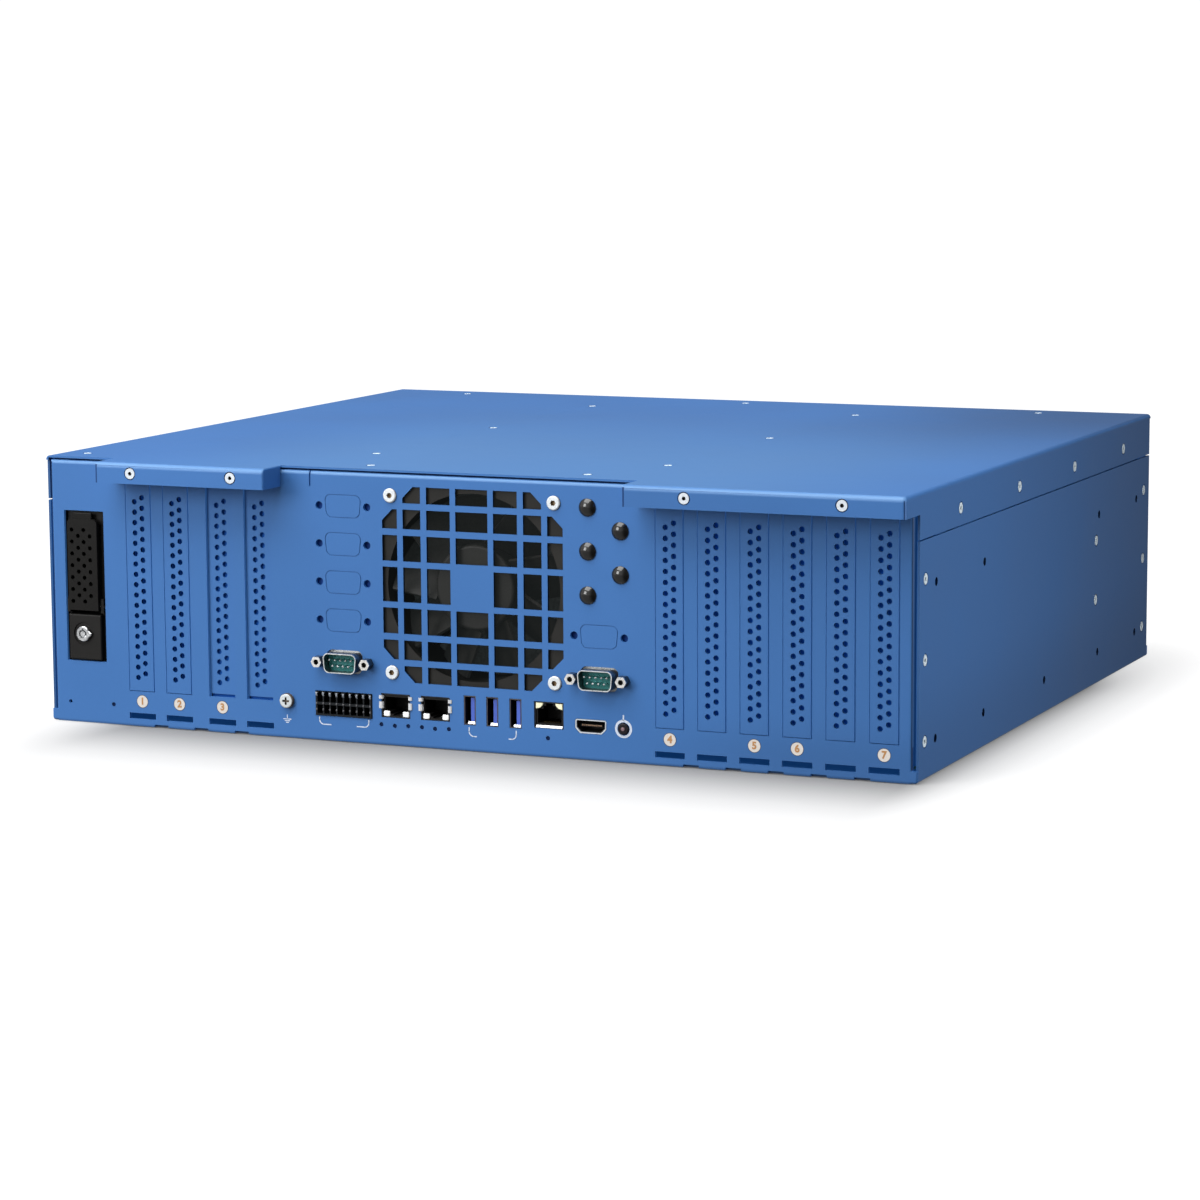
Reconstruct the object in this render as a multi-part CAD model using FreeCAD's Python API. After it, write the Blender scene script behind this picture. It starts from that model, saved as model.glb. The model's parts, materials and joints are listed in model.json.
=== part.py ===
import FreeCAD, Part
import math
import os

V = FreeCAD.Vector

# ---------------------------------------------------------------------------
# Driving dimensions, millimetres.  Working frame: x from the left side wall,
# y from the front panel face towards the back, z from the underside.
# ---------------------------------------------------------------------------
W = 440.0            # body width between the outer side faces
H = 128.5            # three rack units less clearance
D = 380.0            # front panel face to rear panel face
T = 1.2              # base pan sheet
TL = 1.0             # top cover sheet
TP = 1.5             # front and rear panel sheet
SEAM = 107.3         # seam between side wall and cover skirt
PANEL_TOP = 126.6    # top bend of the front and rear panels
FLANGE = 20.0        # depth of the panel return flanges
FOOT = 5.5           # full-width foot of each panel
GAP = 1.0            # shadow gap between the panel edges and the side walls
JOG = 4.0            # depth at which the panel flanges step out to the walls
WALL_Y = 1.6         # side walls start this far behind the panel face
HOOD_OUT = 17.5      # hoods stand this far in front of the panel
HOOD_LOW = 118.7     # lower edge of the hood lips
HOOD_L = (37.8, 127.4)
HOOD_R = (307.6, 440.0)
HOOD_BEND = 2.6      # fold between the lid and the hood lips
SCREW_PROUD = 1.0    # low heads of the fan screws

SLOT_PITCH = 20.32
SLOTS_L = [50.3, 70.6, 93.9, 114.2]
SLOTS_R = [424.6 - SLOT_PITCH * k for k in (5, 4, 3, 2, 1, 0)]
SLOT_W = 14.0
SLOT_Z = (16.8, 118.9)
LEDGE_Z = (118.9, 120.1)
BRACKET_W = 18.42
BRACKET_T = 0.86
FLUSH = (50.3, 70.6)   # left slots whose brackets fill the opening, as all right ones do
VENT_R = 1.3
VENT_ROWS = 18
VENT_PITCH = 4.975

FAN_X, FAN_Z = 225.4, 75.5
FAN_SIZE, FAN_SPACING, FAN_DEEP = 92.0, 82.5, 25.0
FAN_BLADES, BLADE_W = 9, 26.0
REAR_FANS = (75.0, 365.0)
REAR_FAN_Z = 60.0
REAR_SIZE, REAR_SPACING = 80.0, 71.5

BAY_X = (9.4, 31.1)
BAY_Z = (29.8, 102.6)
LEVER_X = (11.6, 27.8)
LEVER_Z = (54.6, 98.7)
LEVER_PIN_Y, LEVER_PIN_Z = 1.8, 56.6
LOCK_X, LOCK_Z, LOCK_R = 19.2, 43.2, 3.6

DSUB_L = (159.3, 37.6)
DSUB_R = (288.6, 37.4)
DSUB_HALF = 12.495
BLANK_W, BLANK_H = 19.2, 10.9
BLANKS = [(159.6, 110.7), (159.4, 92.9), (159.3, 75.0), (159.2, 57.1), (288.6, 56.8)]
PLUGS = [(283.3, 115.4), (299.3, 105.4), (283.3, 95.5), (299.3, 85.5), (283.3, 75.5)]
TERM_X, TERM_Z = (144.0, 173.2), (11.8, 23.1)
JACKS = [(185.6, 18.5, 14.9, 11.4, -1), (206.0, 18.5, 14.9, 11.4, -1),
         (263.4, 19.2, 14.8, 12.4, 1)]
BUS = [223.6, 235.0, 246.7]
BUS_Z = (12.0, 25.8)
BUS_W = 6.1
VIDEO = (284.2, 15.3)
POWER = (300.4, 15.4)
RESET = (10.4, 9.7)
LIGHTS = [(178.0, 9.4), (185.0, 9.1), (191.9, 9.4), (199.0, 9.4), (205.7, 9.1),
          (212.8, 9.4), (262.9, 8.6), (34.4, 9.6)]
EARTH = (129.0, 17.6)

RAIL_Y = (24.5, 94.5)
RAIL_Y2 = (284.0, 354.0)
RAIL_Z = (16.5, 86.5)
RAIL_LONE = (191.0, 16.5)
RAIL_R, RAIL_LEN = 2.0, 3.7

BOARD_Z = (8.0, 9.6)
BOARD_X = (36.0, 435.5)
BOARD_Y = (3.0, 240.0)
BAFFLE_L, BAFFLE_R = 145.5, 296.5
SUPPLY_X = (158.0, 283.0)
SUPPLY_Y = (248.0, 378.4)
SUPPLY_Z = (1.3, 64.8)

# the finished part is centred on its own width and depth
DX = -W / 2.0
DY = -(D + SCREW_PROUD - HOOD_OUT) / 2.0


# ---------------------------------------------------------------------------
# helpers
# ---------------------------------------------------------------------------
def box(x0, x1, y0, y1, z0, z1):
    return Part.makeBox(x1 - x0, y1 - y0, z1 - z0, V(x0, y0, z0))


def cyl(x, y, z, r, h, d):
    return Part.makeCylinder(r, h, V(x, y, z), V(*d))


def cy(x, z, r, y0, y1):
    return Part.makeCylinder(r, y1 - y0, V(x, y0, z), V(0, 1, 0))


def cz(x, y, r, z0, z1):
    return Part.makeCylinder(r, z1 - z0, V(x, y, z0), V(0, 0, 1))


def cx(y, z, r, x0, x1):
    return Part.makeCylinder(r, x1 - x0, V(x0, y, z), V(1, 0, 0))


def fuse(first, *others):
    s = first.multiFuse(list(others))
    return s.removeSplitter()


def cut(shape, tools):
    return shape.cut(list(tools))


def edges_at(shape, test):
    found = []
    for e in shape.Edges:
        b = e.BoundBox
        if test(b):
            found.append(e)
    return found


def near(a, b):
    return abs(a - b) < 1e-4


def along_x(b, y, z):
    return b.XLength > 1 and near(b.YMin, y) and near(b.YMax, y) and near(b.ZMin, z) and near(b.ZMax, z)


def along_y(b, x, z):
    return b.YLength > 1 and near(b.XMin, x) and near(b.XMax, x) and near(b.ZMin, z) and near(b.ZMax, z)


def along_z(b, x, y):
    return b.ZLength > 1 and near(b.XMin, x) and near(b.XMax, x) and near(b.YMin, y) and near(b.YMax, y)


def prism_y(points, y0, y1):
    """Closed outline in x and z, pushed from y0 to y1."""
    pts = [V(x, y0, z) for x, z in points]
    face = Part.Face(Part.makePolygon(pts + [pts[0]]))
    return face.extrude(V(0, y1 - y0, 0))


def prism_x(points, x0, x1):
    pts = [V(x0, y, z) for y, z in points]
    face = Part.Face(Part.makePolygon(pts + [pts[0]]))
    return face.extrude(V(x1 - x0, 0, 0))


def prism_z(points, z0, z1):
    pts = [V(x, y, z0) for x, y in points]
    face = Part.Face(Part.makePolygon(pts + [pts[0]]))
    return face.extrude(V(0, 0, z1 - z0))


def dshape(cx0, cz0, w, h, y0, y1, r=2.4, lean=0.9):
    """D-shaped plug outline, wider at its top edge, with round corners."""
    a, b = w / 2.0, h / 2.0
    s = prism_y([(cx0 - a, cz0 + b), (cx0 + a, cz0 + b), (cx0 + a - lean, cz0 - b),
                 (cx0 - a + lean, cz0 - b)], y0, y1)
    return s.makeFillet(r, edges_at(s, lambda q: q.YLength > 0.01 and q.XLength < 1e-4 and q.ZLength < 1e-4))


def rbox_y(x0, x1, z0, z1, y0, y1, r):
    s = box(x0, x1, y0, y1, z0, z1)
    return s.makeFillet(r, edges_at(s, lambda q: q.YLength > 0.01 and q.XLength < 1e-4 and q.ZLength < 1e-4))


def video_solid(m, y0, y1):
    """Outline of the video socket inset by m, pushed from y0 to y1."""
    x, z = VIDEO
    a, b, k = 7.6 - m, 3.2 - m, 2.3 - 0.4 * m
    s = prism_y([(x - a, z + b), (x + a, z + b), (x + a, z - b + k), (x + a - k, z - b),
                 (x - a + k, z - b), (x - a, z - b + k)], y0, y1)
    return s.makeFillet(0.9 - 0.8 * m, edges_at(s, lambda q: q.YLength > 0.01 and q.XLength < 1e-4 and q.ZLength < 1e-4))


NODES = {}


def put(name, *solids):
    flat = []
    for s in solids:
        flat += s.Solids
    moved = []
    for s in flat:
        c = s.copy()
        c.translate(V(DX, DY, 0))
        moved.append(c)
    NODES[name] = moved


def recess(x, y, z, d, deep=0.9, arm=1.35, wide=0.42):
    """Cross recess at a head's top centre; d points out of the head."""
    h = deep
    if abs(d[1]) > 0.5:
        y0, y1 = (y, y + h) if d[1] < 0 else (y - h, y)
        return [box(x - arm, x + arm, y0, y1, z - wide, z + wide),
                box(x - wide, x + wide, y0, y1, z - arm, z + arm)]
    if abs(d[0]) > 0.5:
        x0, x1 = (x - h, x) if d[0] > 0 else (x, x + h)
        return [box(x0, x1, y - arm, y + arm, z - wide, z + wide),
                box(x0, x1, y - wide, y + wide, z - arm, z + arm)]
    return [box(x - arm, x + arm, y - wide, y + wide, z - h, z),
            box(x - wide, x + wide, y - arm, y + arm, z - h, z)]


HEAD_R, HEAD_T, SHANK_R = 2.5, 0.7, 1.45
LID_HEAD_R = 1.85    # smaller heads on the lid
RING = 0.5           # open ring around each let-in head


def socket(x, y, z, d, deep, r):
    """Six-sided socket at a head's top centre; d points out of the head."""
    pts = []
    for k in range(6):
        a, b = r * math.cos(math.radians(60 * k)), r * math.sin(math.radians(60 * k))
        if abs(d[0]) > 0.5:
            pts.append(V(x + 0.5 * d[0], y + a, z + b))
        elif abs(d[1]) > 0.5:
            pts.append(V(x + a, y + 0.5 * d[1], z + b))
        else:
            pts.append(V(x + a, y + b, z + 0.5 * d[2]))
    face = Part.Face(Part.makePolygon(pts + [pts[0]]))
    k = -(deep + 0.5)
    return face.extrude(V(k * d[0], k * d[1], k * d[2]))


def flat_screw(x, y, z, d, length, r=HEAD_R):
    """Flat-headed screw let into the sheet; d points out of the head."""
    back = (-d[0], -d[1], -d[2])
    s = fuse(cyl(x, y, z, r, HEAD_T, back), cyl(x, y, z, SHANK_R, length, back))
    return s.cut(socket(x, y, z, d, 1.6, 1.0))


def flat_seat(x, y, z, d, length, r=HEAD_R):
    """Seat and clearance hole for a flat-headed screw."""
    back = (-d[0], -d[1], -d[2])
    return [cyl(x + d[0], y + d[1], z + d[2], r + RING, HEAD_T + 1.0, back),
            cyl(x, y, z, SHANK_R + 0.06, length, back)]


# ---------------------------------------------------------------------------
# screw positions shared by several sheets
# ---------------------------------------------------------------------------
COVER_FRONT = [(14.0, 15.5), (166.7, 15.5), (276.7, 15.5)]
COVER_MID = [(x, y) for x in (BAFFLE_L, BAFFLE_R) for y in (63.2, 195.3, 322.0)]
COVER_REAR = [(49.5, 366.0), (217.4, 366.0), (383.0, 366.0)]
SKIRT_Y = (58.7, 148.0, 239.5, 328.0)
SKIRT_Z = 115.3
PANEL_SIDE_Z = (17.4, 53.6, 89.6)
PANEL_SIDE_Y = (9.8, D - 11.5)
GUIDE_Y, GUIDE_Z = 279.7, (43.6, 73.7)
HOOD_SCREWS = [56.6, 110.0, 337.1, 410.8]
HOOD_SCREW_Z = 123.6

# ---------------------------------------------------------------------------
# base pan: floor and both side walls, folded from one sheet
# ---------------------------------------------------------------------------
pan = box(0, W, WALL_Y, D - WALL_Y, 0, SEAM - 0.4)
pan = pan.makeFillet(1.5, edges_at(pan, lambda b: along_y(b, 0, 0) or along_y(b, W, 0)))
pan = cut(pan, [box(T, W - T, -1, D + 1, T, H)])
# floor stops behind the panels, whose foot runs across the full width
pan = cut(pan, [box(-1, W + 1, -1, WALL_Y + 0.01, -1, FOOT + 0.4),
                box(-1, W + 1, D - WALL_Y - 0.01, D + 1, -1, FOOT + 0.4)])
# upstand inside the cover skirts, offset inwards by one sheet
lips = []
for x0, x1 in ((T, 2 * T), (W - 2 * T, W - T)):
    lips.append(box(x0, x1, 26.0, D - 26.0, SEAM - 6.0, 122.0))
bosses = []
holes = []
for side in (0, 1):
    xa, xb = (T, RAIL_LEN) if side == 0 else (W - RAIL_LEN, W - T)
    spots = [(y, z) for y in RAIL_Y + RAIL_Y2 for z in RAIL_Z] + [RAIL_LONE]
    for y, z in spots:
        bosses.append(cx(y, z, 3.2, xa, xb))
        holes.append(cx(y, z, RAIL_R, -1 if side == 0 else W - 5, 5 if side == 0 else W + 1))
pan = fuse(pan, *(lips + bosses))
for side in (0, 1):
    x = 0 if side == 0 else W
    d = (-1, 0, 0) if side == 0 else (1, 0, 0)
    for y in PANEL_SIDE_Y:
        for z in PANEL_SIDE_Z:
            holes += flat_seat(x, y, z, d, 2.0)
    for z in GUIDE_Z:
        holes += flat_seat(x, GUIDE_Y, z, d, 2.0)
    for y in SKIRT_Y:
        holes.append(cx(y, SKIRT_Z, SHANK_R + 0.06, -1 if side == 0 else W - 4, 4 if side == 0 else W + 1))
pan = cut(pan, holes)
put("base_pan", pan)

# ---------------------------------------------------------------------------
# top cover: lid, skirts and the two hoods over the card slots
# ---------------------------------------------------------------------------
LID_Y = 0.5          # front edge of the plain lid
lid = box(0, W, LID_Y, D, SEAM + 0.3, H)
hood_l = box(HOOD_L[0], HOOD_L[1], -HOOD_OUT, 1.0, HOOD_LOW, H)
hood_r = box(HOOD_R[0], HOOD_R[1], -HOOD_OUT, 1.0, HOOD_LOW, H)
lid = fuse(lid, hood_l, hood_r)
lid = lid.makeFillet(HOOD_BEND, edges_at(lid, lambda b: along_x(b, -HOOD_OUT, H)))
lid = lid.makeFillet(2.0, edges_at(lid, lambda b: along_y(b, 0, H) or along_y(b, W, H)))
lid = lid.makeFillet(0.9, edges_at(lid, lambda b: b.ZLength > 4 and near(b.XMin, HOOD_L[1]) and near(b.XMax, HOOD_L[1])
                                   and near(b.YMin, -HOOD_OUT) and near(b.YMax, -HOOD_OUT)))
lid = cut(lid, [box(T, W - T, 0.0, D + 1, 0, H - TL),
                box(HOOD_L[0] + TL, HOOD_L[1] - TL, -HOOD_OUT + T, 0.6, 0, H - TL),
                box(HOOD_R[0] + TL, HOOD_R[1] - T, -HOOD_OUT + T, 0.6, 0, H - TL),
                # hood end walls stop just short of the panel face
                box(HOOD_L[0] - 1, HOOD_L[1] + 1, -0.3, 2.0, 0, H - TL),
                box(HOOD_R[0] - 1, HOOD_R[1] - T, -0.3, 2.0, 0, H - TL),
                # folded lips butt against the end walls, which sit a little behind
                box(HOOD_L[0] - 1, HOOD_L[0] + TL, -HOOD_OUT - 1, -HOOD_OUT + 0.5, 0, H - 0.75),
                box(HOOD_R[0] - 1, HOOD_R[0] + TL, -HOOD_OUT - 1, -HOOD_OUT + 0.5, 0, H - 0.75),
                box(HOOD_R[1] - T, HOOD_R[1] + 1, -HOOD_OUT - 1, -HOOD_OUT + 0.5, 0, H - 0.75),
                # skirts start level with the side walls
                box(-1, T, -1, WALL_Y, 0, H - 2.2),
                box(W - T, W + 1, -1, WALL_Y, 0, HOOD_LOW),
                box(-1, T, D - WALL_Y, D + 1, 0, H - 2.2),
                box(W - T, W + 1, D - WALL_Y, D + 1, 0, H - 2.2)])
holes = []
for x, y in COVER_FRONT + COVER_MID + COVER_REAR:
    holes += flat_seat(x, y, H, (0, 0, 1), 2.0, LID_HEAD_R)
for y in SKIRT_Y:
    holes += flat_seat(0, y, SKIRT_Z, (-1, 0, 0), 2.0)
    holes += flat_seat(W, y, SKIRT_Z, (1, 0, 0), 2.0)
for x in HOOD_SCREWS:
    holes += flat_seat(x, -HOOD_OUT, HOOD_SCREW_Z, (0, -1, 0), 2.5)
lid = cut(lid, holes)
put("top_cover", lid)


# ---------------------------------------------------------------------------
# fan grille: square cells of rising width, bounded by an octagon
# ---------------------------------------------------------------------------
def grille(x, z, scale, y0, y1):
    bands = [(-45.6, -37.9), (-35.0, -25.9), (-22.9, -10.9), (-8.1, 8.1),
             (10.9, 22.9), (25.9, 35.0), (37.9, 45.6)]
    a, k = 45.7, 75.3
    octagon = prism_y([(x + scale * p, z + scale * q) for p, q in
                       [(-a, k - a), (-(k - a), a), (k - a, a), (a, k - a),
                        (a, -(k - a)), (k - a, -a), (-(k - a), -a), (-a, -(k - a))]], y0, y1)
    cells = []
    for i, (a0, a1) in enumerate(bands):
        for j, (b0, b1) in enumerate(bands):
            if i == 3 and j == 3:
                continue
            if i in (0, 6) and j in (0, 6):
                continue
            c = box(x + scale * a0, x + scale * a1, y0, y1, z + scale * b0, z + scale * b1)
            if (i in (0, 1, 5, 6)) and (j in (0, 1, 5, 6)):
                c = c.common(octagon)
            cells += c.Solids
    return cells


# ---------------------------------------------------------------------------
# front panel
# ---------------------------------------------------------------------------
BEND = 1.8


def panel_shell():
    """Folded panel with its front at y = 0: face, top flange and side flanges that step out behind the gap."""
    a, b = T + 0.05 + GAP, T + 0.05
    p = box(a, W - a, 0, JOG + 2.0, 0, PANEL_TOP)
    p = p.makeFillet(BEND, edges_at(p, lambda q: along_x(q, 0, PANEL_TOP) or along_z(q, a, 0) or along_z(q, W - a, 0)))
    p = fuse(p, box(b, W - b, JOG, FLANGE, 0, PANEL_TOP))
    return cut(p, [box(a + TP, W - a - TP, TP, JOG + TP, -1, PANEL_TOP - TP),
                   box(b + TP, W - b - TP, JOG + TP - 0.1, FLANGE + 1, -1, PANEL_TOP - TP),
                   box(-1, W + 1, TP, FLANGE + 1, -1, 7.5)])


fp = panel_shell()
foot = box(0, W, 0, TP, 0, FOOT)
foot = foot.makeFillet(1.4, edges_at(foot, lambda b: along_y(b, 0, 0) or along_y(b, W, 0)))
foot = foot.makeFillet(0.9, edges_at(foot, lambda b: near(b.YMin, 0) and near(b.YMax, 0) and b.ZMax < 1.5))
parts = [foot]
for x0, x1 in ((40.2, 125.6), (309.4, 437.0)):
    parts.append(box(x0, x1, -HOOD_OUT + T + 0.1, 0.2, LEDGE_Z[0], LEDGE_Z[1]))
    parts.append(box(x0, x1, -HOOD_OUT + T + 0.1, -HOOD_OUT + 2 * T + 0.1, LEDGE_Z[0], 126.2))
fp = fuse(fp, *parts)
holes = [box(BAY_X[0], BAY_X[1], -1, TP + 1, BAY_Z[0], BAY_Z[1])]
for x in SLOTS_L + SLOTS_R:
    holes.append(box(x - SLOT_W / 2, x + SLOT_W / 2, -0.5, TP + 1, SLOT_Z[0], SLOT_Z[1]))
    holes.append(box(x - BRACKET_W / 2 - 0.3, x + BRACKET_W / 2 + 0.3, -0.5, TP + 1, LEDGE_Z[1], LEDGE_Z[1] + 1.3))
    holes.append(box(x - 7.2, x + 7.2, -1, TP + 1, 3.4, 6.3))
    holes.append(cz(x, -6.2, 1.52, LEDGE_Z[0] - 1, LEDGE_Z[1] + 0.5))
for group in (SLOTS_L, SLOTS_R):
    for a, b in zip(group[:-1], group[1:]):
        m = (a + b) / 2.0
        holes.append(box(m - 3.8, m + 3.8, -1, TP + 1, -1, 1.2))
for x, z in BLANKS:
    for s in (-1, 1):
        holes.append(cy(x + s * 12.4, z, 1.85, -1, TP + 1))
    ring = dshape(x, z, BLANK_W, BLANK_H, -0.1, 0.3, 3.0, 1.0).cut(
        dshape(x, z, BLANK_W - 0.7, BLANK_H - 0.7, -1, 2, 2.7, 1.0))
    holes += ring.Solids
for x, z in (DSUB_L, DSUB_R):
    holes.append(dshape(x, z, 19.4, 11.2, -1, TP + 1, 3.0, 1.0))
    for s in (-1, 1):
        holes.append(cy(x + s * DSUB_HALF, z, 1.6, -1, TP + 1))
for x, z in PLUGS:
    holes.append(cy(x, z, 3.2, -1, TP + 1))
holes.append(box(TERM_X[0] - 0.3, TERM_X[1] + 0.3, -1, TP + 1, TERM_Z[0] - 0.3, TERM_Z[1] + 0.3))
for x, z, w, h, up in JACKS:
    holes.append(box(x - w / 2, x + w / 2, -1, TP + 1, z - h / 2, z + h / 2))
for x in BUS:
    holes.append(box(x - BUS_W / 2, x + BUS_W / 2, -1, TP + 1, BUS_Z[0], BUS_Z[1]))
holes.append(video_solid(-0.2, -1, TP + 1))
holes.append(cy(POWER[0], POWER[1], 2.9, -1, TP + 1))
holes.append(cy(RESET[0], RESET[1], 0.9, -1, TP + 1))
for x, z in LIGHTS:
    holes.append(cy(x, z, 1.05, -1, TP + 1))
holes.append(cy(EARTH[0], EARTH[1], 1.55, -1, TP + 1))
holes.append(box(142.2, 143.0, -1, 0.8, 119.4, PANEL_TOP - 1.2))
holes.append(box(142.2, 143.0, -1, 2.6, PANEL_TOP - 1.8, PANEL_TOP + 1))
for sx in (-1, 1):
    for sz in (-1, 1):
        holes.append(cy(FAN_X + sx * FAN_SPACING / 2, FAN_Z + sz * FAN_SPACING / 2, 1.9, -1, TP + 1))
holes += grille(FAN_X, FAN_Z, 1.0, -1, TP + 1)
for x in HOOD_SCREWS:
    holes.append(cy(x, HOOD_SCREW_Z, SHANK_R + 0.06, -HOOD_OUT, -10.0))
for x, y in COVER_FRONT:
    holes.append(cz(x, y, SHANK_R + 0.06, PANEL_TOP - 3, PANEL_TOP + 1))
for z in PANEL_SIDE_Z:
    holes.append(cx(PANEL_SIDE_Y[0], z, SHANK_R + 0.06, 0.5, 4))
    holes.append(cx(PANEL_SIDE_Y[0], z, SHANK_R + 0.06, W - 4, W - 0.5))
fp = cut(fp, holes)
put("front_panel", fp)

# ---------------------------------------------------------------------------
# rear panel
# ---------------------------------------------------------------------------
rp = panel_shell().mirror(V(0, D / 2.0, 0), V(0, 1, 0))
foot = box(0, W, D - TP, D, 0, FOOT)
foot = foot.makeFillet(1.4, edges_at(foot, lambda b: along_y(b, 0, 0) or along_y(b, W, 0)))
rp = fuse(rp, foot)
RS = 38.6 / 45.7
holes = []
for x in REAR_FANS:
    holes += grille(x, REAR_FAN_Z, RS, D - TP - 1, D + 1)
    for sx in (-1, 1):
        for sz in (-1, 1):
            holes.append(cy(x + sx * REAR_SPACING / 2, REAR_FAN_Z + sz * REAR_SPACING / 2, 1.9, D - TP - 1, D + 1))
holes.append(rbox_y(SUPPLY_X[0] + 5, SUPPLY_X[1] - 5, SUPPLY_Z[0] + 6, SUPPLY_Z[1] - 5, D - TP - 1, D + 1, 2.0))
SUPPLY_SCREWS = [(SUPPLY_X[0] + 2.6 + 0.4, SUPPLY_Z[1] - 2.9), (SUPPLY_X[1] - 2.6 - 0.4, SUPPLY_Z[1] - 2.9),
                 (SUPPLY_X[0] + 2.6 + 0.4, SUPPLY_Z[0] + 9.0), (SUPPLY_X[1] - 2.6 - 0.4, SUPPLY_Z[0] + 9.0)]
for x, z in SUPPLY_SCREWS:
    holes.append(cy(x, z, 1.55, D - TP - 1, D + 1))
# row of exhaust slots above the supply
for k in range(12):
    x0 = 165.0 + k * 9.4
    holes.append(box(x0, x0 + 5.0, D - TP - 1, D + 1, 78.0, 112.0))
for x, y in COVER_REAR:
    holes.append(cz(x, y, SHANK_R + 0.06, PANEL_TOP - 3, PANEL_TOP + 1))
for z in PANEL_SIDE_Z:
    holes.append(cx(PANEL_SIDE_Y[1], z, SHANK_R + 0.06, 0.5, 4))
    holes.append(cx(PANEL_SIDE_Y[1], z, SHANK_R + 0.06, W - 4, W - 0.5))
rp = cut(rp, holes)
put("rear_panel", rp)

# conductive foam strips between the panels' top flanges and the lid
gaskets = []
for y0, y1 in ((1.9, 12.0), (D - 11.0, D - 1.9)):
    g = box(4.0, W - 4.0, y0, y1, PANEL_TOP, H - TL)
    g = cut(g, [cz(x, y, 3.2, 120, 130) for x, y in COVER_FRONT + COVER_REAR])
    gaskets.append(g)
put("lid_gaskets", *gaskets)

# ---------------------------------------------------------------------------
# perforated slot brackets with their top tabs, and the tab screws
# ---------------------------------------------------------------------------
TAB_Z = LEDGE_Z[1]
b0 = fuse(box(-BRACKET_W / 2, BRACKET_W / 2, TP, TP + BRACKET_T, 13.0, TAB_Z + BRACKET_T),
          box(-5.1, 5.1, TP, TP + BRACKET_T, 8.2, 13.5),
          box(-BRACKET_W / 2, BRACKET_W / 2, -11.2, TP + BRACKET_T, TAB_Z, TAB_Z + BRACKET_T))
# raised field that fills the slot opening
b1 = fuse(b0, box(-SLOT_W / 2 + 0.3, SLOT_W / 2 - 0.65, 0.12, TP + 0.3, SLOT_Z[0] + 0.35, SLOT_Z[1] - 0.4))
tools = []
for i in range(VENT_ROWS):
    tools.append(cy(2.0, 110.1 - VENT_PITCH * i, VENT_R, -1, 4))
    tools.append(cy(-2.0, 108.1 - VENT_PITCH * i, VENT_R, -1, 4))
tools.append(cz(0, -6.2, 1.52, 115, 125))
# a plain bracket leaves the foot of its slot open
b0 = cut(b0, tools + [box(-SLOT_W / 2 + 0.2, SLOT_W / 2 - 0.2, TP - 1, TP + 2, SLOT_Z[0] - 0.3, SLOT_Z[0] + 1.3)])
b1 = cut(b1, tools)
s0 = fuse(cz(0, -6.2, 2.9, TAB_Z + BRACKET_T, TAB_Z + BRACKET_T + 2.0),
          cz(0, -6.2, 1.45, LEDGE_Z[0] - 0.6, TAB_Z + BRACKET_T + 0.5))
s0 = cut(s0, recess(0, -6.2, TAB_Z + BRACKET_T + 2.0, (0, 0, 1), 1.1))
brackets, tabs = [], []
for x in SLOTS_L + SLOTS_R:
    plain = x in SLOTS_L and x not in FLUSH
    for src, dst in ((b0 if plain else b1, brackets), (s0, tabs)):
        c = src.copy()
        c.translate(V(x, 0, 0))
        dst.append(c)
put("slot_brackets", *brackets)
inner_screws = list(tabs)

# ---------------------------------------------------------------------------
# flat screws of the cover, side walls and hoods
# ---------------------------------------------------------------------------
put("cover_screws",
    *([flat_screw(x, y, H, (0, 0, 1), 5.0, LID_HEAD_R) for x, y in COVER_FRONT + COVER_MID + COVER_REAR]
      + [flat_screw(0, y, SKIRT_Z, (-1, 0, 0), 4.0) for y in SKIRT_Y]
      + [flat_screw(W, y, SKIRT_Z, (1, 0, 0), 4.0) for y in SKIRT_Y]))
put("panel_screws",
    *([flat_screw(0, y, z, (-1, 0, 0), 4.0) for y in PANEL_SIDE_Y for z in PANEL_SIDE_Z]
      + [flat_screw(W, y, z, (1, 0, 0), 4.0) for y in PANEL_SIDE_Y for z in PANEL_SIDE_Z]
      + [flat_screw(0, GUIDE_Y, z, (-1, 0, 0), 4.0) for z in GUIDE_Z]
      + [flat_screw(W, GUIDE_Y, z, (1, 0, 0), 4.0) for z in GUIDE_Z]))
put("hood_screws", *[flat_screw(x, -HOOD_OUT, HOOD_SCREW_Z, (0, -1, 0), 4.5) for x in HOOD_SCREWS])


def low_screw(x, z, y, d, length, r=3.3, t=SCREW_PROUD, shank=1.7):
    """Low round-headed screw along y."""
    if d < 0:
        head = cy(x, z, r, y - t, y)
        head = head.makeChamfer(0.45, edges_at(head, lambda b: near(b.YMin, y - t) and near(b.YMax, y - t)))
        s = fuse(head, cy(x, z, shank, y, y + length))
        return s.cut(socket(x, y - t, z, (0, -1, 0), 1.6, 1.4))
    head = cy(x, z, r, y, y + t)
    head = head.makeChamfer(0.45, edges_at(head, lambda b: near(b.YMin, y + t) and near(b.YMax, y + t)))
    s = fuse(head, cy(x, z, shank, y - length, y))
    return s.cut(socket(x, y + t, z, (0, 1, 0), 1.6, 1.4))


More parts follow.
